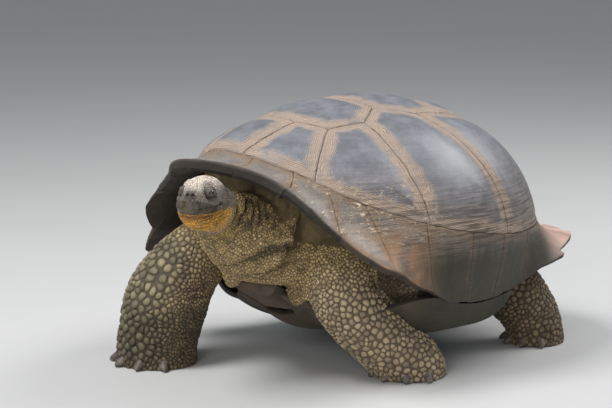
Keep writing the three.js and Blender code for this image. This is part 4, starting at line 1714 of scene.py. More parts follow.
    def faced(self, body: Array, normal: Array) -> Array:
        """Shapes the face: brows, sockets, lids, nostrils, mouth and chin.

        Args:
            body: the skin's places in millimetres.
            normal: its normals.

        Returns:
            The shaped places.
        """
        form = self.form.head
        local = form.to_local(body)
        yaw = math.radians(form.yaw)
        spin = np.array([[math.sin(yaw), -math.cos(yaw), 0], [math.cos(yaw), math.sin(yaw), 0], [0, 0, 1]])
        a, o, u = local.T
        live = smoothstep(a, -74, -50) * (np.abs(o) < 85) * (np.abs(u) < 90)
        shaped = local + normal @ spin.T * (self.face_rise(local) * live)[:, None]
        m = self.lidded(form.one_side(shaped))
        nose = np.exp(-((m - np.array(form.nostril)) ** 2 / np.array([80, 9, 7])).sum(1))
        m[:, 0] -= 9.0 * np.minimum(nose * 1.6, 1.0)
        side = np.where(o >= 0, 1.0, -1.0)
        shaped = np.stack([m[:, 0], m[:, 1] * side, m[:, 2]], -1)
        return np.where((live > 0)[:, None], form.to_body(shaped), body)

    def face_rise(self, local: Array) -> Array:
        """How far the face's humps and creases raise the skin, in millimetres.

        Args:
            local: places in the head's frame.

        Returns:
            The rise at each place, below zero in a crease.
        """
        form = self.form.head
        a, o, u = local.T
        m = form.one_side(local)
        rise = np.zeros(len(m))
        for high, at, wide in self.humps:
            rise += high * np.exp(-((m - np.array(at)) ** 2).sum(1) / wide**2)
        # socket and lid ridge, cheek, mouth, chin and throat
        far = form.from_eye(local)
        rise += -5.0 * bump(far, 19.5, 5.0) + 4.2 * bump(far, 27, 6) * smoothstep(u, 36, 50)
        cheek = 2.4 * self.ridges(local * MM, (0.03, 0.03, 0.012), 72) * smoothstep(-np.abs(u - 12), -26, -10)
        rise -= cheek * (1 - smoothstep(a, 50, 66))
        line = form.mouth + 0.09 * np.maximum(60 - a, 0)
        rise += -4.6 * bump(u, line, 3.0) * smoothstep(a, 2, 14) * (u < 40)
        waver = 5.0 * fractal(local * MM, 0.03, 70, 2)
        for level, depth in self.chin:
            sag = level + 0.1 * np.abs(o) + 0.12 * (60 - a) + waver
            rise += -depth * bump(u, sag, 2.9) * smoothstep(a, -30, 10)
        creases = 1 - np.abs(np.sin((a + 0.3 * u) / 9.0 + 1.3 * fractal(local * MM, 0.03, 71)))
        rise += -1.6 * creases**3 * smoothstep(-u, 5, 25) * (1 - smoothstep(a, -10, 30))
        return rise

    def lidded(self, m: Array) -> Array:
        """Wraps the skin round the eye as two lids with a slit between them.

        Args:
            m: places on the left of the head, in its frame.

        Returns:
            The same places, those near the eye drawn onto its lids.
        """
        form = self.form.head
        eye = np.array(form.eye_at)
        ray = m - eye
        far = np.linalg.norm(ray, axis=1)
        ray = ray / far[:, None]
        gaze = unit(np.array([0.42, 0.87, 0.2]))
        slant = math.radians(24)
        back = unit(np.array([-math.cos(slant), 0.42, math.sin(slant)]))
        back = unit(back - gaze * (back @ gaze))
        over = np.cross(back, gaze)
        over = over if over[2] > 0 else -over
        facing = ray @ gaze
        h, v = ray @ back, ray @ over
        edge = bump(np.hypot(h / 0.86, (v - 0.02) / 0.5), 1.0, 0.22)
        lid = eye + ray * (form.eye + 2.2 + 0.9 * edge)[:, None]
        wrap = smoothstep(-far, -17.5, -13.5) * (facing > 0.0)
        m = mix(m, lid, wrap)
        slit = smoothstep(-np.hypot(h / 0.8, (v - 0.02) / 0.42), -1.08, -0.88) * (facing > 0.2) * (far < 26)
        return mix(m, eye + ray * (form.eye - 3.0), slit)


# ---- scales ----------------------------------------------------------------------------------
@dataclass(frozen=True)
class ScaleSizes:
    """How wide the scales are, in millimetres, by part of the body."""

    body: float = 9.0
    neck: float = 7.4
    throat: float = 6.0
    head: float = 6.0
    face: float = 4.6
    foreleg_front: float = 25.0
    foreleg_back: float = 9.5
    hindleg_front: float = 15.0
    hindleg_back: float = 9.0
    foot: float = 12.0
    tail: float = 9.0

    def at(self, where: Where) -> Array:
        """The scales' width at each place.

        Args:
            where: where the places lie.

        Returns:
            A width for each place, in millimetres.
        """
        size = np.full(len(where.body), self.body)
        size = np.where(where.on(Region.NECK) > 0, self.neck, size)
        under = smoothstep(-where.head[:, 2], 20, 60) * (1 - smoothstep(where.ratio["head"], 1.5, 2.4))
        size = size + (self.throat - size) * under
        head = where.on(Region.HEAD) > 0
        top = smoothstep(where.head[:, 2], 25, 55) * smoothstep(-where.head[:, 0], -60, 0)
        size = np.where(head, self.face + (self.head - self.face) * top, size)
        facing = HideColours.face_on(where)
        for key, front, back in (
            (Region.FORELEG_RIGHT, self.foreleg_front, self.foreleg_back),
            (Region.FORELEG_LEFT, self.foreleg_front * 0.68, self.foreleg_back),
            (Region.HINDLEG_LEFT, self.hindleg_front, self.hindleg_back),
            (Region.HINDLEG_RIGHT, self.hindleg_front, self.hindleg_back),
        ):
            leg = back + (front - back) * facing
            high = smoothstep(where.along, 0.16, 0.42)
            leg = self.body + (leg - self.body) * high
            foot = smoothstep(-where.body[:, 2], -42, -12)
            leg = leg + (self.foot - leg) * foot
            size = np.where(where.on(key) > 0, leg, size)
        return np.where(where.on(Region.TAIL) > 0, self.tail, size)


@dataclass
class ScaleTree:
    """The node tree that turns flat cells on the skin into solid domed scales."""

    name: str = "raise_scales"
    # share of the height that stands upright, then how far the shoulder and the crown draw in
    wall: float = 0.62
    shoulder: float = 0.16
    crown: float = 0.33
    weld: float = 0.00001

    def build(self) -> bpy.types.NodeTree:
        """Builds the tree with its named inputs.

        Returns:
            The tree.
        """
        tree = bpy.data.node_groups.new(self.name, "GeometryNodeTree")
        face = tree.interface
        face.new_socket(name="Geometry", in_out="INPUT", socket_type="NodeSocketGeometry")
        for label, value in (("Wall", self.wall), ("Shoulder", self.shoulder), ("Crown", self.crown)):
            socket = face.new_socket(name=label, in_out="INPUT", socket_type="NodeSocketFloat")
            socket.default_value = value
        face.new_socket(name="Finish", in_out="INPUT", socket_type="NodeSocketMaterial")
        face.new_socket(name="Geometry", in_out="OUTPUT", socket_type="NodeSocketGeometry")
        nodes = NodeTree(tree)
        given, out = nodes.add("NodeGroupInput"), nodes.add("NodeGroupOutput")

        def named(label: str) -> bpy.types.NodeSocket:
            """A stored vector of the cells."""
            values = {"Name": label}
            return nodes.result(
                "GeometryNodeInputNamedAttribute", "Attribute", values, data_type="FLOAT_VECTOR"
            )

        def scaled(vector: bpy.types.NodeSocket, by: object) -> bpy.types.NodeSocket:
            """A vector times a number."""
            return nodes.result("ShaderNodeVectorMath", 0, {0: vector, "Scale": by}, operation="SCALE")

        def level(geometry: object, chosen: object, rise: object, draw: object, crown: float) -> tuple:
            """Raises the chosen faces, draws them in and notes their height."""
            offset = scaled(named("rise"), rise)
            values = {"Individual": True, "Mesh": geometry, "Selection": chosen, "Offset": offset}
            lift = nodes.feed(nodes.add("GeometryNodeExtrudeMesh", mode="FACES"), values)
            mesh, top = lift.outputs["Mesh"], lift.outputs["Top"]
            values = {"Geometry": mesh, "Selection": top, "Offset": scaled(named("pull"), draw)}
            moved = nodes.result("GeometryNodeSetPosition", 0, values)
            values = {"Geometry": moved, "Selection": top, "Name": "crown", "Value": crown}
            noted = nodes.result(
                "GeometryNodeStoreNamedAttribute", 0, values, data_type="FLOAT", domain="POINT"
            )
            return noted, top

        rest = nodes.math("SUBTRACT", 1.0, given.outputs["Wall"])
        cells, wall, shoulder, crown = (given.outputs[k] for k in ("Geometry", "Wall", "Shoulder", "Crown"))
        body, top = level(cells, True, wall, shoulder, 0.7)
        body, _ = level(body, top, rest, crown, 1.0)
        both = nodes.add("GeometryNodeJoinGeometry")
        nodes.put(nodes.result("GeometryNodeFlipFaces", 0, {"Mesh": cells}), both.inputs[0])
        nodes.put(body, both.inputs[0])
        values = {"Geometry": both.outputs[0], "Distance": self.weld}
        whole = nodes.result("GeometryNodeMergeByDistance", 0, values)
        whole = nodes.result("GeometryNodeRealizeInstances", 0, {0: whole})
        whole = nodes.result("GeometryNodeSetShadeSmooth", 0, {"Geometry": whole})
        values = {"Geometry": whole, "Material": given.outputs["Finish"]}
        nodes.put(nodes.result("GeometryNodeSetMaterial", 0, values), out.inputs[0])
        return tree


@dataclass
class Coat:
    """The scales: cells shared out evenly over the skin, each raised into a solid."""

    form: BodyForm
    placing: Placing
    colours: HideColours
    sizes: ScaleSizes = field(default_factory=ScaleSizes)
    tree: ScaleTree = field(default_factory=ScaleTree)
    seed: int = 5
    tries: int = 14
    rounds: int = 3
    corners: int = 9
    neighbours: int = 12
    # shares of a scale's width: how far it fills its cell, reaches under the skin and rises
    gap: float = 0.92
    sink: float = 0.10
    rise: float = 0.23
    # size of a scale's patch on the unwrap, squeeze of the neck's cells, most and fewest in a piece
    patch: float = 0.0015
    tall: float = 0.5
    chunk: int = 2300
    fewest: int = 8

    def build(self, skin: Object, finish: Material) -> list[Object]:
        """Lays the scales on the skin.

        Args:
            skin: the finished skin.
            finish: the scales' horn.

        Returns:
            The pieces of the coat.
        """
        roots, normals = self.roots(skin.data)
        where = Where.of(self.form, self.placing.body(roots))
        # painted shade: each scale takes the skin's crease depth and is darkened toward the recess colour by
        # it
        depth = read(skin.data.attributes["deep"].data, "value", 1)
        deep = depth[self.nearest(points_of(skin.data), roots)]
        hide = dyed(self.colours.paint(where), self.colours.recess_shade, 0.7 * deep)
        cells = self.cells(roots, normals, hide, where)
        made, tree = [], self.tree.build()
        for region in Region:
            ids = np.flatnonzero(where.region == region.value)
            order = ids[np.argsort(where.along[ids], kind="stable")]
            for k in range(0, len(order), self.chunk):
                part = order[k : k + self.chunk]
                if len(part) < self.fewest:
                    continue
                name = f"scales_{region.name.lower()}_{k // self.chunk + 1}"
                rows = {label: values[part] for label, values in cells.items()}
                made.append(self.piece(name, rows, tree, finish))
        LOG.info("%d scales in %d pieces", len(roots), len(made))
        return made

    def shown(self, body: Array) -> Array:
        """Whether a place on the skin can be seen from outside the shell.

        Args:
            body: places in millimetres.

        Returns:
            True or false for each place.
        """
        q = np.hypot(body[:, 0] / 440.0, body[:, 1] / 540.0)
        out = self.form.shell.lean(np.zeros((1, 3)))[0]
        bearing = np.degrees(np.abs(np.arctan2(body[:, 0] - out[0], -body[:, 1])))
        z = body[:, 2]
        opening = (bearing < 68) | (bearing > 116)
        trunk = (q > np.where(z > 350, 0.75, 0.62)) & opening & (z > 85) & (z < 560)
        return trunk | (z < 190) | (body[:, 1] < -430)

    def roots(self, mesh: Mesh) -> tuple[Array, Array]:
        """Shares out the scales' middles over the skin.

        Args:
            mesh: the skin.

        Returns:
            Their places and the skin's normals there.
        """
        rng = np.random.default_rng(self.seed)
        mesh.calc_loop_triangles()
        tris = np.empty(len(mesh.loop_triangles) * 3, np.int32)
        mesh.loop_triangles.foreach_get("vertices", tris)
        tris = tris.reshape(-1, 3)
        co, no = points_of(mesh), normals_of(mesh)
        body = self.placing.body(co)
        where = Where.of(self.form, body)
        size = self.sizes.at(where) * MM
        shown = self.shown(body) & (body[:, 2] > 2.5) & ~self.bare(where)
        keep = shown[tris].all(1)
        tris = tris[keep]
        a, b, c = co[tris[:, 0]], co[tris[:, 1]], co[tris[:, 2]]
        # many spots, dense where the scales are small, and a few of them as first middles
        area = np.linalg.norm(np.cross(b - a, c - a), axis=1) / 2
        worth = area / size[tris].mean(1) ** 2 * 1.1
        total = int(worth.sum())
        pick = rng.choice(len(tris), size=total * self.tries, p=worth / worth.sum())
        u, v = rng.random((2, len(pick)))
        over = u + v > 1
        u, v = np.where(over, 1 - u, u), np.where(over, 1 - v, v)
        w = np.stack([1 - u - v, u, v], 1)[..., None]
        spots = (co[tris[pick]] * w).sum(1)
        lie = unit((no[tris[pick]] * w).sum(1))
        seeds = rng.choice(len(spots), total, replace=False)
        at, up = spots[seeds], lie[seeds]
        upright = where.on(Region.NECK, Region.TRUNK)[tris[pick, 0]]

        def squeezed(places: Array, share: Array) -> Array:
            """The neck drawn together in height and set apart, so that its scales grow tall."""
            none = share * 0
            drawn = places * np.stack([none, none, share * (self.tall - 1)], 1)
            return drawn + places + 10 * share[:, None]

        # each middle moves to the mean of the spots nearest to it
        for _ in range(self.rounds):
            near = self.nearest(squeezed(at, upright[seeds]), squeezed(spots, upright))
            count = np.maximum(np.bincount(near, minlength=total), 1)[:, None]
            middle = np.stack([np.bincount(near, spots[:, k], total) for k in range(3)], 1) / count
            facing = np.stack([np.bincount(near, lie[:, k], total) for k in range(3)], 1)
            used = np.bincount(near, minlength=total) > 0
            at = np.where(used[:, None], middle, at)
            up = np.where(used[:, None], unit(facing), up)
        return at, up

    def bare(self, where: Where) -> Array:
        """Places without scales: eyes, nostrils and the beaks' horn; the soles stay bare through the height
        limit in roots.

        Args:
            where: where the places lie.

        Returns:
            True or false for each place.
        """
        form = self.form.head
        a, o, u = where.head[:, 0], np.abs(where.head[:, 1]), where.head[:, 2]
        near = form.from_eye(where.head) < 15.5
        head = where.region == Region.HEAD.value
        horn = head & (a > 30) & (u > form.mouth - 14) & (u < form.mouth + 21 - 0.32 * (88 - a))
        nostril = head & (a > 70) & (u > 24) & (u < 44) & (o < 13)
        return near & head | horn | nostril

    @staticmethod
    def nearest(seeds: Array, spots: Array) -> Array:
        """The number of the seed nearest to each spot."""
        find = tree_of(seeds).find
        return np.fromiter((find(p)[1] for p in spots), np.int64, len(spots))

    def cells(self, at: Array, up: Array, hide: Array, where: Where) -> dict[str, Array]:
        """Each scale's outline, as far out as half way to its neighbours.

        Args:
            at: the scales' middles.
            up: the skin's normals there.
            hide: the scales' colours.
            where: where they lie.

        Returns:
            Arrays with a row for each scale: the outline's places, its pull to the middle, its rise
            and its directions, and the scale's colour, shade and place on the unwrap.
        """
        size = self.sizes.at(where) * MM
        tree, count = tree_of(at), self.neighbours + 1
        near = np.array([[j for _, j, _ in tree.find_n(p, count)] for p in at])[:, 1:]
        down = np.array([0.15, 0.1, -1.0])
        e1 = unit(np.cross(up, down))
        e2 = np.cross(e1, up)
        d = at[near] - at[:, None, :]
        x, y = (d * e1[:, None]).sum(-1), (d * e2[:, None]).sum(-1)
        # in each direction, as far as half way to the nearest neighbour there
        turn = full_turn(self.corners)
        c, s = np.cos(turn), np.sin(turn)
        reach = (x**2 + y**2) / 2
        ahead = x[..., None] * c + y[..., None] * s
        grip = np.maximum(ahead, 0.0) / np.maximum(reach, 1e-9)[..., None]
        radius = 1.0 / np.maximum((grip**9).sum(1) ** (1 / 9), 1e-6)
        radius = np.minimum(radius * self.gap, size[:, None] * 0.74)
        flat = e1[:, None] * c[None, :, None] + e2[:, None] * s[None, :, None]
        rng = np.random.default_rng(self.seed + 1)
        high = size * self.rise * (0.85 + 0.3 * rng.random(len(at)))
        soft = where.on(Region.NECK, Region.TRUNK) * 0.4 + where.on(Region.HEAD) * 0.5
        high = high * (1 - soft)
        lift = 1.0 + 0.3 * s[None] * (1 - where.on(Region.HEAD))[:, None]
        rim = at[:, None] + flat * radius[..., None] - up[:, None] * (size * self.sink)[:, None, None]
        return {
            "rim": rim,
            "pull": -flat * radius[..., None],
            "rise": up[:, None] * ((high + size * self.sink)[:, None] * lift)[..., None],
            "arm": np.broadcast_to(np.stack([c, s], -1), (len(at), self.corners, 2)),
            "hide": hide,
            "shade": np.random.default_rng(self.seed + 2).random(len(at)),
            "spot": where.unwrap(),
        }

    def piece(
        self, name: str, rows: dict[str, Array], tree: bpy.types.NodeTree, finish: Material
    ) -> Object:
        """Makes one piece of the coat.

        Args:
            name: the piece's name.
            rows: its scales' rows of the cells.
            tree: the node tree that raises them.
            finish: the scales' horn.

        Returns:
            The finished piece.
        """
        n = self.corners
        points = rows["rim"].reshape(-1, 3)
        faces = [tuple(range(k, k + n)) for k in range(0, len(points), n)]
        piece = new_piece(name, points, faces)
        mesh = piece.data
        first = np.cross(points[1] - points[0], points[2] - points[0]) @ rows["rise"][0, 0]
        if first < 0:
            mesh.flip_normals()
        flat = {
            "spot": np.repeat(rows["spot"], n, axis=0), "arm": rows["arm"].reshape(-1, 2) * self.patch
        }
        for label, values in flat.items():
            set_vectors(mesh, label, np.concatenate([values, np.zeros((len(values), 1))], 1))
        for label in ("pull", "rise"):
            set_vectors(mesh, label, rows[label].reshape(-1, 3))
        set_vectors(mesh, "hide", np.repeat(rows["hide"], n, axis=0))
        set_numbers(mesh, "shade", np.repeat(rows["shade"], n))
        set_numbers(mesh, "crown", np.zeros(len(points)))
        raise_up = piece.modifiers.new("raise", "NODES")
        raise_up.node_group = tree
        sockets = {s.name: s.identifier for s in tree.interface.items_tree if s.in_out == "INPUT"}
        form = self.tree
        for label, value in (
            ("Wall", form.wall), ("Shoulder", form.shoulder), ("Crown", form.crown), ("Finish", finish)
        ):
            raise_up[sockets[label]] = value
        Skin.apply(piece)
        low = points_of(piece.data)
        low[:, 2] = np.maximum(low[:, 2], 0.3 * MM)
        set_points(piece.data, low)
        self.lay_patches(piece.data)
        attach(piece, BODY)
        return piece

    @staticmethod
    def lay_patches(mesh: Mesh) -> None:
        """Lays each scale on its small patch of the unwrap.

        Args:
            mesh: one piece of the coat.
        """
        spot, arm = (read(mesh.attributes[k].data, "vector", 3) for k in ("spot", "arm"))
        crown = read(mesh.attributes["crown"].data, "value", 1)
        flat = spot + arm * (1.0 - 0.45 * crown)[:, None]
        loops = np.empty(len(mesh.loops), np.int32)
        mesh.loops.foreach_get("vertex_index", loops)
        layer = mesh.uv_layers.new(name="OFBake")
        layer.data.foreach_set("uv", flat[loops, :2].astype(np.float32).ravel())
        for name in ("pull", "rise", "spot", "arm"):
            mesh.attributes.remove(mesh.attributes[name])


# ---- eyes, beaks and claws -------------------------------------------------------------------
@dataclass
class Eyes:
    """The two eyeballs."""

    form: HeadForm
    placing: Placing
    around: int = 48
    rows: int = 32

    def build(self, finish: Material) -> list[Object]:
        """Builds the eyeballs with the angle from the gaze stored on them.

        Args:
            finish: the wet eye.

        Returns:
            The two eyeballs.
        """
        made = []
        for name, side in (("left", 1.0), ("right", -1.0)):
            low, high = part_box(f"eye_{name}")
            middle = (np.array(low) + np.array(high)) / 2
            radius = self.form.eye * MM
            gaze = unit(np.array([0.42, 0.87 * side, 0.12]))
            flat = self.form.to_body(np.stack([gaze, np.zeros(3)]))
            gaze = flat[0] - flat[1]
            e1 = unit(np.cross(gaze, np.array([0.0, 0.0, 1.0])))
            e2 = np.cross(gaze, e1)
            turn = full_turn(self.around)
            points, angles = [gaze[None]], [0.0]
            for k in range(1, self.rows):
                tilt = math.pi * k / self.rows
                ring = e1 * np.cos(turn)[:, None] + e2 * np.sin(turn)[:, None]
                points.append(gaze * math.cos(tilt) + ring * math.sin(tilt))
                angles += [tilt] * self.around
            points.append(-gaze[None])
            angles.append(math.pi)
            ball = np.concatenate(points)
            angle = np.array(angles)
            ball = ball * (radius * (1.0 + 0.035 * (1 - smoothstep(angle, 0.2, 0.62))))[:, None]
            faces = outward(ball, ring_faces(self.rows - 1, self.around))
            piece = new_piece(f"eyeball_{name}", ball + middle, faces)
            set_numbers(piece.data, "gaze", angle)
            piece.data.materials.append(finish)
            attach(piece, BODY)
            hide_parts(f"eye_{name}")
            made.append(piece)
        return made


@dataclass
class Beaks:
    """The horn sheaths of the upper and lower jaw, laid round the face."""

    form: BodyForm
    placing: Placing
    around: int = 96
    across: int = 18
    widest: float = 74.0
    core: float = 10.0
    deep: float = 4.5

    def build(self, finish: Material) -> list[Object]:
        """Builds both sheaths.

        Args:
            finish: the horn.

        Returns:
            The two sheaths.
        """
        points, faces = self.form.head_skin(120, 120)
        local = self.form.head.to_local(points)
        tree = BVHTree.FromPolygons([tuple(p) for p in local], faces)
        made = []
        for name, upper in (("upper", True), ("lower", False)):
            piece = self.sheath(name, upper, tree)
            piece.data.materials.append(finish)
            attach(piece, BODY)
            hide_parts(f"{name}_beak")
            made.append(piece)
        return made

    def sheath(self, name: str, upper: bool, tree: BVHTree) -> Object:
        """Builds one sheath.

        Args:
            name: which jaw.
            upper: whether it is the upper one.
            tree: the head's surface in its own frame, in millimetres.

        Returns:
            A closed sheath that follows the face.
        """
        turn = np.radians(np.linspace(-self.widest, self.widest, self.around))
        low, high = self.edges(turn, upper)
        outer, inner = [], []
        rim = 1.0 if upper else -1.0
        for t in np.arange(self.across) / (self.across - 1):
            edge = t if upper else 1 - t
            for i, a in enumerate(turn):
                way = Vector((math.cos(a), math.sin(a), 0.0))
                hit, *_ = tree.ray_cast(Vector((self.core, 0.0, low[i] + (high[i] - low[i]) * t)), way)
                proud = 1.8 * (1 - edge) ** 2 + 0.8 * math.sin(math.pi * edge) + 0.1
                proud *= float(smoothstep(self.widest - abs(math.degrees(a)), 0, 14))
                outer.append(np.array(hit) + np.array(way) * proud)
                drawn = np.array([0, 0, rim * 1.2 * (1 - edge)])
                inner.append(np.array(hit) - np.array(way) * self.deep + drawn)
        row = self.placing.row(self.form.head.to_body(np.array(outer + inner)))
        return new_piece(f"beak_{name}", row, outward(row, self.walled()))

    def edges(self, turn: Array, upper: bool) -> tuple[Array, Array]:
        """The heights of a sheath's lower and upper edge at each bearing, in millimetres.

        Args:
            turn: bearings in radians.
            upper: whether it is the upper sheath.

        Returns:
            Its lower and its upper edge.
        """
        mouth = self.form.head.mouth
        lift = 0.09 * 38 * (1 - np.cos(turn * 1.15)) * 1.6
        front = np.cos(turn * 90 / self.widest)
        if upper:
            hook = -2.6 * bump(np.degrees(turn), 0, 7) + 0.5 * np.sin(turn * 46)
            low = mouth + 0.4 + lift + hook
            high = mouth + lift + 2.5 + 17 * np.maximum(front, 0) ** 1.2 + 0.9 * np.sin(turn * 38)
        else:
            high = mouth - 0.8 + lift + 0.3 * np.sin(turn * 40)
            low = mouth + lift - 3.5 - 9.5 * np.maximum(front, 0) ** 0.6
        return low, high

    def walled(self) -> list[tuple[int, ...]]:
        """Faces of an outer and an inner sheet with walls between their edges.

        Returns:
            Tuples of vertex numbers.
        """
        n, m = self.around, self.across
        base, top = n * m, (m - 1) * n
        faces = []
        for a in (k * n + i for k in range(m - 1) for i in range(n - 1)):
            b = a + 1
            faces.append((a, b, b + n, a + n))
            faces.append((base + a, base + a + n, base + b + n, base + b))
        for i in range(n - 1):
            faces.append((i, base + i, base + i + 1, i + 1))
            faces.append((top + i, top + i + 1, base + top + i + 1, base + top + i))
        for a in range(0, top, n):
            faces.append((a, a + n, base + a + n, base + a))
            a += n - 1
            faces.append((a, base + a, base + a + n, a + n))
        return faces


@dataclass(frozen=True)
class ClawSet:
    """One foot's claws, spread over a range of bearings."""

    foot: str
    count: int
    start: float
    end: float
    length: float
    width: float = 13.5


@dataclass
class Claws:
    """Blunt, worn claws round the front of each foot."""

    form: BodyForm
    placing: Placing
    sets: tuple[ClawSet, ...] = (
        ClawSet("foreleg_right", 5, -78, 62, 24), ClawSet("foreleg_left", 5, -62, 78, 24),
        ClawSet("hindleg_left", 4, -52, 58, 22), ClawSet("hindleg_right", 4, -58, 52, 22),
    )
    around: int = 28
    rows: int = 22

    def build(self, finish: Material) -> list[Object]:
        """Builds each foot's claws as one piece.

        Args:
            finish: the horn.

        Returns:
            A piece for each foot.
        """
        made = []
        for claws in self.sets:
            horns = [self.claw(claws, k) for k in range(claws.count)]
            skins = [outward(p, ring_faces(self.rows, self.around)) for p in horns]
            points, faces = gathered(zip(horns, skins))
            piece = new_piece(f"claws_{claws.foot}", self.placing.row(points), faces)
            piece.data.materials.append(finish)
            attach(piece, BODY)
            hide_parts(claws.foot)
            made.append(piece)
        return made

    def claw(self, claws: ClawSet, number: int) -> Array:
        """One claw in millimetres.

        Args:
            claws: the foot's set.
            number: which of its claws.

        Returns:
            The claw's points.
        """
        limb = next(limb for limb in self.form.limbs if limb.name == claws.foot)
        foot = limb.rows[-2]
        bearing = claws.start + (claws.end - claws.start) * number / (claws.count - 1)
        rng = np.random.default_rng(number + 17)
        length = claws.length * (0.92 + 0.16 * rng.random())
        t = np.linspace(0.0, 1.0, self.rows)
        round_off = np.sqrt(np.clip(1.0 - ((t - 0.45) / 0.55).clip(0) ** 2.4, 0.0, 1.0))
        wide = claws.width * (1.0 - 0.3 * t) * np.maximum(round_off, 0.04)
        tall = claws.width * 1.15 * (1.0 - 0.38 * t) * np.maximum(round_off, 0.04)
        out = foot[4] - 20 + (length + 18) * t
        up = np.maximum(21 - 10 * t - 5.5 * t * t, tall * 0.96)
        turn = full_turn(self.around)
        c, s = np.cos(turn), np.sin(turn)
        keel = 1.0 + 0.06 * np.maximum(s, 0) ** 3
        y = -np.broadcast_to(out[:, None], (self.rows, self.around))
        x = wide[:, None] * c
        z = up[:, None] + tall[:, None] * s * keel * np.where(s < 0, 0.85, 1.0)
        ring = np.stack([x, y, np.maximum(z, 0.4)], -1).reshape(-1, 3)
        tip = np.array([[0.0, -(out[-1] + 0.4), up[-1]]])
        back = np.array([[0.0, -(out[0] - 0.5), up[0]]])
        points = np.concatenate([back, ring, tip])
        a = math.radians(bearing)
        turned = points.copy()
        turned[:, 0] = points[:, 0] * math.cos(a) - points[:, 1] * math.sin(a)
        turned[:, 1] = points[:, 0] * math.sin(a) + points[:, 1] * math.cos(a)
        turned[:, 0] *= foot[3] / foot[4]
        turned[:, :2] += np.array(foot[:2])
        return turned


# ---- finishes --------------------------------------------------------------------------------
class SharedEffects:
    """Shader groups that several finishes use, each built once."""

    def __init__(self) -> None:
        """Builds the groups."""
        self.horn = self.horn_group()
        self.hide = self.hide_group()

    @staticmethod
    def horn_group() -> bpy.types.NodeTree:
        """Worn plate horn: smooth middles, rough seam bands, growth lines, flecks and algae.

        Returns:
            The group.
        """
        nodes, given, out = shader_group(
            "plate_horn",
            [
                ("Place", Sockets.VECTOR, None), ("Seam", Sockets.NUMBER, 1.0),
                ("Rim", Sockets.NUMBER, 1.0), ("Crown", Sockets.COLOUR, (0.2, 0.2, 0.2)),
                ("Flank", Sockets.COLOUR, (0.1, 0.08, 0.05)), ("Band", Sockets.COLOUR, (0.3, 0.22, 0.15)),
                ("Algae", Sockets.COLOUR, (0.06, 0.07, 0.03)), ("Fleck", Sockets.COLOUR, (0.7, 0.62, 0.5)),
                ("Band Width", Sockets.NUMBER, 0.04), ("Line Gap", Sockets.NUMBER, 0.004),
                ("Worn", Sockets.COLOUR, (0.25, 0.2, 0.15)),
            ],
            [("Color", Sockets.COLOUR), ("Roughness", Sockets.NUMBER), ("Height", Sockets.NUMBER)],
        )
        take, times, fused = given.outputs, nodes.times, nodes.fused
        ramp, blend, noise = nodes.band, nodes.blend, nodes.noise
        place, seam, rim, worn_band = (take[k] for k in ("Place", "Seam", "Rim", "Band"))
        y, z = nodes.axis(place, "Y"), nodes.axis(place, "Z")
        broad = noise(place, 5.0, 3)
        mottle = noise(place, 22.0, 5, 0.62)
        grit = noise(place, 260.0, 4, 0.7)
        streak = noise(nodes.stretch(place, (9.0, 9.0, 170.0)), 1.0, 4, 0.6)
        # growth lines and the rough bands beside the seams
        drift = fused(mottle, 0.026, seam)
        edge = times(noise(place, 30.0, 4, 0.6), take["Band Width"])
        width = fused(take["Band Width"], 0.4, edge)
        lines = nodes.math("SINE", nodes.math("DIVIDE", times(drift, 6.283), take["Line Gap"]))
        worn = ramp(fused(broad, 0.16, z), 0.66, 0.44)
        low = ramp(fused(broad, 0.1, z), 0.45, 0.33)
        band = ramp(nodes.math("SUBTRACT", width, seam), -0.009, 0.012)
        band = times(band, ramp(low, 0.0, 1.0, (1.0, 0.25)))
        # colours from the crown down to the mossy lower side, whose darker colour is partly its own and
        # partly painted shade
        middle = blend(times(worn, 0.72), take["Crown"], take["Worn"])
        # painted shade in part: low on the shell the colour turns to the darker lower-side colour, partly the
        # horn's own olive
        base = blend(low, middle, take["Flank"])
        tone = nodes.toned(base, ramp(mottle, 0.3, 0.72, (0.74, 1.22)))
        share = times(band, ramp(mottle, 0.25, 0.6, (0.4, 0.92)))
        brown = blend(share, tone, worn_band)
        moss = times(ramp(z, 0.34, 0.16), ramp(broad, 0.35, 0.65, (0.2, 0.8)))
        green = blend(moss, brown, take["Algae"])
        # streaks, pale scrapes and dark runs
        steep = ramp(y, -0.5, -0.38, (0.12, 1.0))
        strata = times(steep, fused(nodes.most(worn, low), 0.6, 0.08))
        fine = times(ramp(streak, 0.46, 0.58), strata)
        streaked = blend(fine, green, (0.035, 0.027, 0.02))
        pale = times(ramp(low, 1.0, 0.0), times(worn, 0.4))
        pale = times(ramp(streak, 0.43, 0.33), pale)
        streaked = blend(pale, streaked, worn_band)
        runs = noise(nodes.stretch(place, (44.0, 44.0, 3.5)), 1.0, 4, 0.6)
        run = times(ramp(runs, 0.5, 0.62), times(low, 0.55))
        streaked = blend(run, streaked, (0.018, 0.017, 0.009))
        patchy = times(ramp(seam, 0.085, 0.01), ramp(mottle, 0.36, 0.6, (0.1, 0.62)))
        ringed = times(ramp(lines, 0.1, 0.95), patchy)
        grown = blend(ringed, streaked, (0.06, 0.042, 0.03))
        # pale flecks, cracks and a darker edge along the free rim
        scar = noise(nodes.stretch(place, (90.0, 34.0, 120.0)), 1.0, 6, 0.78)
        level = times(ramp(z, 0.56, 0.47), ramp(z, 0.33, 0.41))
        ahead = times(ramp(y, 0.02, -0.2), level)
        elsewhere = times(ramp(broad, 0.55, 0.7), 0.2)
        area = times(nodes.most(band, 0.8), nodes.most(ahead, elsewhere))
        fleck = times(ramp(scar, 0.54, 0.6), times(area, ramp(z, 0.3, 0.38)))
        flecked = blend(times(fleck, 0.9), grown, take["Fleck"])
        crack = times(ramp(seam, 0.002, 0.0004), ramp(mottle, 0.35, 0.6, (0.15, 0.6)))
        dark_rim = times(ramp(rim, 0.012, 0.002), 0.7)
        final = blend(nodes.most(crack, dark_rim), flecked, (0.035, 0.026, 0.02))
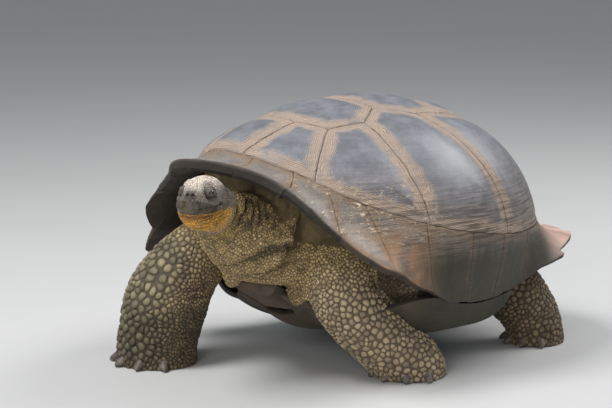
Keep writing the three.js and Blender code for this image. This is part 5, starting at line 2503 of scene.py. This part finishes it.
        # gloss and relief
        rough = ramp(nodes.most(band, times(low, 0.6)), 0.0, 1.0, (0.34, 0.76))
        high = times(lines, times(ramp(seam, 0.09, 0.01), 0.22))
        high = fused(grit, ramp(band, 0.0, 1.0, (0.2, 1.3)), high)
        high = fused(streak, times(strata, 1.8), high)
        high = fused(fleck, 0.8, high)
        nodes.feed(out, {"Color": final, "Roughness": fused(mottle, 0.18, rough), "Height": high})
        return nodes.tree

    @staticmethod
    def hide_group() -> bpy.types.NodeTree:
        """Dry hide: mottled, dusty on its raised parts and dark in its creases, with painted shade on its
        lower parts and lighter raised tops.

        Returns:
            The group.
        """
        nodes, given, out = shader_group(
            "dry_hide",
            [
                ("Place", Sockets.VECTOR, None), ("Hide", Sockets.COLOUR, (0.15, 0.12, 0.08)),
                ("Dark", Sockets.NUMBER, 0.55), ("Grain", Sockets.NUMBER, 240.0),
                ("Raised", Sockets.NUMBER, 0.5),
            ],
            [("Color", Sockets.COLOUR), ("Roughness", Sockets.NUMBER), ("Height", Sockets.NUMBER)],
        )
        take, times, ramp, noise = given.outputs, nodes.times, nodes.band, nodes.noise
        place = take["Place"]
        mottle = noise(place, 40.0, 5, 0.65)
        broad = noise(place, 9.0, 3)
        grain = nodes.cells(place, take["Grain"])
        speck = noise(place, 420.0, 3, 0.7)
        fine, wide = ramp(mottle, 0.25, 0.75, (0.78, 1.22)), ramp(broad, 0.3, 0.7, (0.88, 1.12))
        value = times(fine, wide)
        # painted shade: lower parts (sides and foot of each scale) darker, raised tops lighter
        value = times(value, ramp(take["Raised"], 0.0, 1.0, (0.44, 1.16)))
        tone = nodes.toned(take["Hide"], value)
        dust = times(ramp(mottle, 0.52, 0.8), times(take["Raised"], 0.35))
        dusty = nodes.blend(dust, tone, (0.36, 0.31, 0.25))
        pits = times(ramp(grain, 0.12, 0.02), take["Dark"])
        nodes.feed(out, {
            "Color": nodes.blend(pits, dusty, (0.045, 0.034, 0.025)),
            "Roughness": ramp(speck, 0.3, 0.7, (0.62, 0.82)),
            "Height": nodes.fused(ramp(grain, 0.0, 0.3), 0.6, times(speck, 0.35)),
        })
        return nodes.tree


def start_finish(name: str) -> tuple[NodeTree, Node, Material]:
    """Starts a material with its Principled shader.

    Args:
        name: the material's name.

    Returns:
        Its tree, its shader and the material.
    """
    material = bpy.data.materials.new(name)
    material.use_nodes = True
    tree = material.node_tree
    tree.nodes.clear()
    nodes = NodeTree(tree)
    shader = nodes.add("ShaderNodeBsdfPrincipled")
    nodes.put(shader.outputs[0], nodes.add("ShaderNodeOutputMaterial").inputs["Surface"])
    return nodes, shader, material


def add_bump(nodes: NodeTree, shader: Node, height: object, metres: float) -> None:
    """Feeds a height through a Bump node to the shader's normal.

    Args:
        nodes: the material's tree.
        shader: its shader.
        height: the height.
        metres: how high a height of 1 stands.
    """
    normal = nodes.result("ShaderNodeBump", 0, {"Distance": metres, "Height": height})
    nodes.put(normal, shader.inputs["Normal"])


@dataclass(frozen=True)
class HornFinish:
    """The finish of one family of plates."""

    name: str
    crown: Colour
    # colour of the lower shell: partly the horn's own olive and partly painted shade
    flank: Colour
    band: Colour
    worn: Colour = srgb("7c6d60")
    algae: Colour = srgb("34381f")
    fleck: Colour = srgb("d9c2a6")
    # painted shade: the dark colour of plate walls and under sides, such as the under side of the front rim
    hidden: Colour = srgb("221c14")
    band_width: float = 0.034
    line_gap: float = 0.0052
    relief: float = 0.0011
    rear: Colour | None = None
    front: Colour | None = None
    gloss: float = 0.18

    def build(self, effects: SharedEffects) -> Material:
        """Builds the material.

        Args:
            effects: the shader groups it shares with other finishes.

        Returns:
            The material, which reads each plate's distances to its seams and rim.
        """
        nodes, shader, material = start_finish(self.name)
        place = nodes.place()
        group = nodes.feed(nodes.add("ShaderNodeGroup", node_tree=effects.horn), {
            "Place": place, "Seam": nodes.attribute("seam_gap"), "Rim": nodes.attribute("rim_gap"),
            "Crown": self.crown, "Flank": self.flank, "Band": self.band, "Algae": self.algae,
            "Fleck": self.fleck, "Band Width": self.band_width, "Line Gap": self.line_gap,
            "Worn": self.worn,
        })
        colour = group.outputs["Color"]
        y, z = nodes.axis(place, "Y"), nodes.axis(place, "Z")
        if self.rear:
            uneven = nodes.band(nodes.noise(place, 14.0), 0.3, 0.6, (0.55, 0.95))
            share = nodes.times(nodes.band(y, 0.36, 0.5), uneven)
            colour = nodes.blend(share, colour, self.rear)
        if self.front:
            patch = nodes.times(nodes.band(y, -0.06, -0.2), nodes.band(z, 0.44, 0.35))
            share = nodes.times(patch, nodes.band(nodes.noise(place, 18.0, 4), 0.35, 0.62, (0.2, 0.85)))
            colour = nodes.blend(share, colour, self.front)
        # painted shade: walls and under sides take the dark hidden colour
        under = nodes.attribute("underside")
        nodes.feed(shader, {
            "Base Color": nodes.blend(nodes.times(under, 0.9), colour, self.hidden),
            "Roughness": group.outputs["Roughness"],
            "Coat Weight": nodes.band(under, 1.0, 0.0, (0.0, self.gloss)),
            "Coat Roughness": 0.32,
        })
        add_bump(nodes, shader, group.outputs["Height"], self.relief)
        return material


@dataclass(frozen=True)
class HideFinish:
    """The finish of the skin or of its scales."""

    name: str
    dark: float
    grain: float
    relief: float
    scales: bool
    # painted shade: the colour that the skin's creases are darkened toward
    crease: Colour = (0.035, 0.025, 0.016)

    def build(self, effects: SharedEffects) -> Material:
        """Builds the material.

        Args:
            effects: the shader groups it shares with other finishes.

        Returns:
            The material.
        """
        nodes, shader, material = start_finish(self.name)
        colour = nodes.attribute("hide", "Color")
        if self.scales:
            shade = nodes.band(nodes.attribute("shade"), 0.0, 1.0, (0.68, 1.3))
            # the crown height drives the hide group's painted shade: low on each scale darker, its top
            # lighter
            colour, raised, wet = nodes.toned(colour, shade), nodes.attribute("crown"), 0.16
        else:
            # painted shade: creases of the skin darkened by the 'deep' attribute
            crease_shade = nodes.times(nodes.attribute("deep"), 0.75)
            colour, raised = nodes.blend(crease_shade, colour, self.crease), 0.1
            wet = nodes.times(nodes.attribute("wet"), 0.3)
        group = nodes.feed(nodes.add("ShaderNodeGroup", node_tree=effects.hide), {
            "Place": nodes.place(), "Raised": raised, "Hide": colour, "Dark": self.dark,
            "Grain": self.grain,
        })
        rough = nodes.math("SUBTRACT", group.outputs["Roughness"], wet)
        nodes.feed(shader, {"Base Color": group.outputs["Color"], "Roughness": rough})
        add_bump(nodes, shader, group.outputs["Height"], self.relief)
        return material


@dataclass(frozen=True)
class BeakFinish:
    """Dark worn horn of beaks and claws."""

    name: str
    base: Colour
    pale: Colour
    scratches: tuple[float, float, float] = (260.0, 260.0, 50.0)
    groove: Colour = srgb("1d1a15")

    def build(self) -> Material:
        """Builds the material.

        Returns:
            The material.
        """
        nodes, shader, material = start_finish(self.name)
        place = nodes.place()
        mottle = nodes.noise(place, 60.0, 5, 0.6)
        lines = nodes.noise(nodes.stretch(place, self.scratches), 1.0, 3, 0.6)
        share = nodes.times(nodes.band(mottle, 0.4, 0.62), 0.8)
        colour = nodes.blend(share, self.base, self.pale)
        scored = nodes.times(nodes.band(lines, 0.55, 0.75), 0.45)
        nodes.feed(shader, {
            "Base Color": nodes.blend(scored, colour, self.groove),
            "Roughness": nodes.band(mottle, 0.3, 0.7, (0.42, 0.66)),
        })
        add_bump(nodes, shader, nodes.fused(lines, 0.7, mottle), 0.0006)
        return material


@dataclass(frozen=True)
class EyeFinish:
    """A dark eye with a brown iris under a wet surface."""

    name: str = "eye_wet"
    white: Colour = srgb("2a211a")
    iris: Colour = srgb("3d2a18")
    fibre: Colour = srgb("6a4a26")
    pupil: Colour = srgb("050404")

    def build(self) -> Material:
        """Builds the material.

        Returns:
            The material.
        """
        nodes, shader, material = start_finish(self.name)
        gaze = nodes.attribute("gaze")
        fibres = nodes.noise(nodes.place(), 900.0, 3, 0.7)
        iris = nodes.blend(nodes.band(fibres, 0.35, 0.7), self.iris, self.fibre)
        colour = nodes.blend(nodes.band(gaze, 0.52, 0.6), iris, self.white)
        colour = nodes.blend(nodes.band(gaze, 0.3, 0.24), colour, self.pupil)
        nodes.feed(shader, {
            "Base Color": colour, "Roughness": 0.06, "Coat Weight": 1.0, "Coat Roughness": 0.03,
        })
        return material


# ---- the setting -----------------------------------------------------------------------------
@dataclass
class Studio:
    """A pale floor, soft lights and the camera."""

    azimuth: float = 48.36
    elevation: float = 9.87
    distance: float = 5.73
    lens: float = 126.3
    aim_height: float = 0.35
    aim_right: float = -0.145
    aim_up: float = 0.044

    def build(self, placing: Placing) -> None:
        """Builds floor, world, lights and camera.

        Args:
            placing: where the body stands.
        """
        self.floor()
        self.lights()
        self.camera(placing)
        bpy.context.scene.view_settings.view_transform = "Standard"

    def floor(self) -> None:
        """A wide pale floor."""
        half = 14.0
        points = np.array([(-half, -half, 0), (half, -half, 0), (half, half, 0), (-half, half, 0)], float)
        piece = new_piece("floor", points, [(0, 1, 2, 3)], smooth=False)
        nodes, shader, material = start_finish("pale_floor")
        patches = nodes.noise(nodes.place(), 1.3, 3)
        colour = nodes.blend(patches, (0.56, 0.56, 0.55), (0.6, 0.6, 0.59))
        nodes.feed(shader, {"Base Color": colour, "Roughness": 0.8})
        piece.data.materials.append(material)

    def lights(self) -> None:
        """A soft world and three large lamps."""
        world = bpy.data.worlds.new("studio")
        world.use_nodes = True
        bpy.context.scene.world = world
        nodes = NodeTree(world.node_tree)
        world.node_tree.nodes.clear()
        sky = nodes.result("ShaderNodeBackground", 0, {"Color": (0.86, 0.9, 0.95), "Strength": 0.34})
        nodes.put(sky, nodes.add("ShaderNodeOutputWorld").inputs["Surface"])
        for name, at, size, power in (
            ("key", (-0.6, -2.5, 4.4), 2.4, 190.0),
            ("fill", (3.0, -4.4, 1.9), 2.2, 92.0),
            ("back", (1.0, 3.2, 3.8), 3.0, 140.0),
        ):
            lamp = bpy.data.lights.new(name, "AREA")
            lamp.shape, lamp.size, lamp.energy = "DISK", size, power
            thing = bpy.data.objects.new(name, lamp)
            bpy.context.scene.collection.objects.link(thing)
            thing.location = at
            way = Vector((0.0, 0.0, 0.35)) - Vector(at)
            thing.rotation_euler = way.to_track_quat("-Z", "Y").to_euler()

    def camera(self, placing: Placing) -> None:
        """The camera, at its bearing and height round the body's middle.

        Args:
            placing: where the body stands.
        """
        a, e = math.radians(self.azimuth), math.radians(self.elevation)
        back = Vector((math.sin(a) * math.cos(e), -math.cos(a) * math.cos(e), math.sin(e)))
        right = Vector((math.cos(a), math.sin(a), 0.0))
        up = back.cross(right)
        target = Vector(placing.shift) + Vector((0.0, 0.0, self.aim_height))
        data = bpy.data.cameras.new("camera")
        data.lens, data.sensor_width = self.lens, 36.0
        data.clip_end = 60.0
        camera = bpy.data.objects.new("camera", data)
        bpy.context.scene.collection.objects.link(camera)
        camera.location = target + back * self.distance
        look = target + right * self.aim_right + up * self.aim_up - camera.location
        camera.rotation_euler = look.to_track_quat("-Z", "Y").to_euler()
        bpy.context.scene.camera = camera


def report(pieces: Iterable[Object]) -> None:
    """Logs each piece with its triangle count.

    Args:
        pieces: the finished pieces.
    """
    total = 0
    for piece in pieces:
        count = triangles(piece)
        total += count
        LOG.info("%s: %d triangles", piece.name, count)
    LOG.info("all: %d triangles", total)


def main() -> None:
    """Builds the tortoise and its setting."""
    logging.basicConfig(level=logging.INFO, format="%(message)s")
    head, shell = HeadForm(), ShellForm()
    placing = Placing.from_frame(head)
    form = BodyForm(shell, head)
    colours = HideColours()
    effects = SharedEffects()
    # the second colour of each horn finish, for the lower shell, is partly painted shade
    big = HornFinish("horn_shell", srgb("75777e"), srgb("38331f"), srgb("b39d8a"))
    rim = HornFinish(
        "horn_rim", srgb("847d77"), srgb("322e1c"), srgb("8f775f"), rear=srgb("dcb6a6"),
        front=srgb("96704c"), band_width=0.018,
    )
    # belly horn: its very dark colours are partly the plates' own mossy brown and partly painted shade for
    # its downward face
    under = HornFinish(
        "horn_belly", srgb("2c2719"), srgb("1f1f11"), srgb("322d1e"), front=srgb("5f4e41"),
        band_width=0.008, gloss=0.0,
    )
    finishes = {
        PlateKind.VERTEBRAL: big.build(effects), PlateKind.MARGINAL: rim.build(effects),
        PlateKind.PLASTRON: under.build(effects),
    }
    finishes[PlateKind.COSTAL] = finishes[PlateKind.VERTEBRAL]
    Studio().build(placing)
    made = Shell(shell, placing).build(finishes)
    hide = HideFinish("hide_skin", 0.5, 330.0, 0.0012, False).build(effects)
    skin = Skin(form, placing, colours).build(hide)
    made.append(skin)
    horn = HideFinish("hide_scales", 0.25, 520.0, 0.0004, True).build(effects)
    made += Coat(form, placing, colours).build(skin, horn)
    made += Eyes(head, placing).build(EyeFinish().build())
    made += Beaks(form, placing).build(BeakFinish("horn_beak", srgb("332d20"), srgb("5c533e")).build())
    claw_horn = BeakFinish("horn_claw", srgb("4b453e"), srgb("7a7064"), (120.0, 120.0, 120.0))
    made += Claws(form, placing).build(claw_horn.build())
    report(made)
    bpy.context.view_layer.update()


if __name__ == "__main__":
    main()
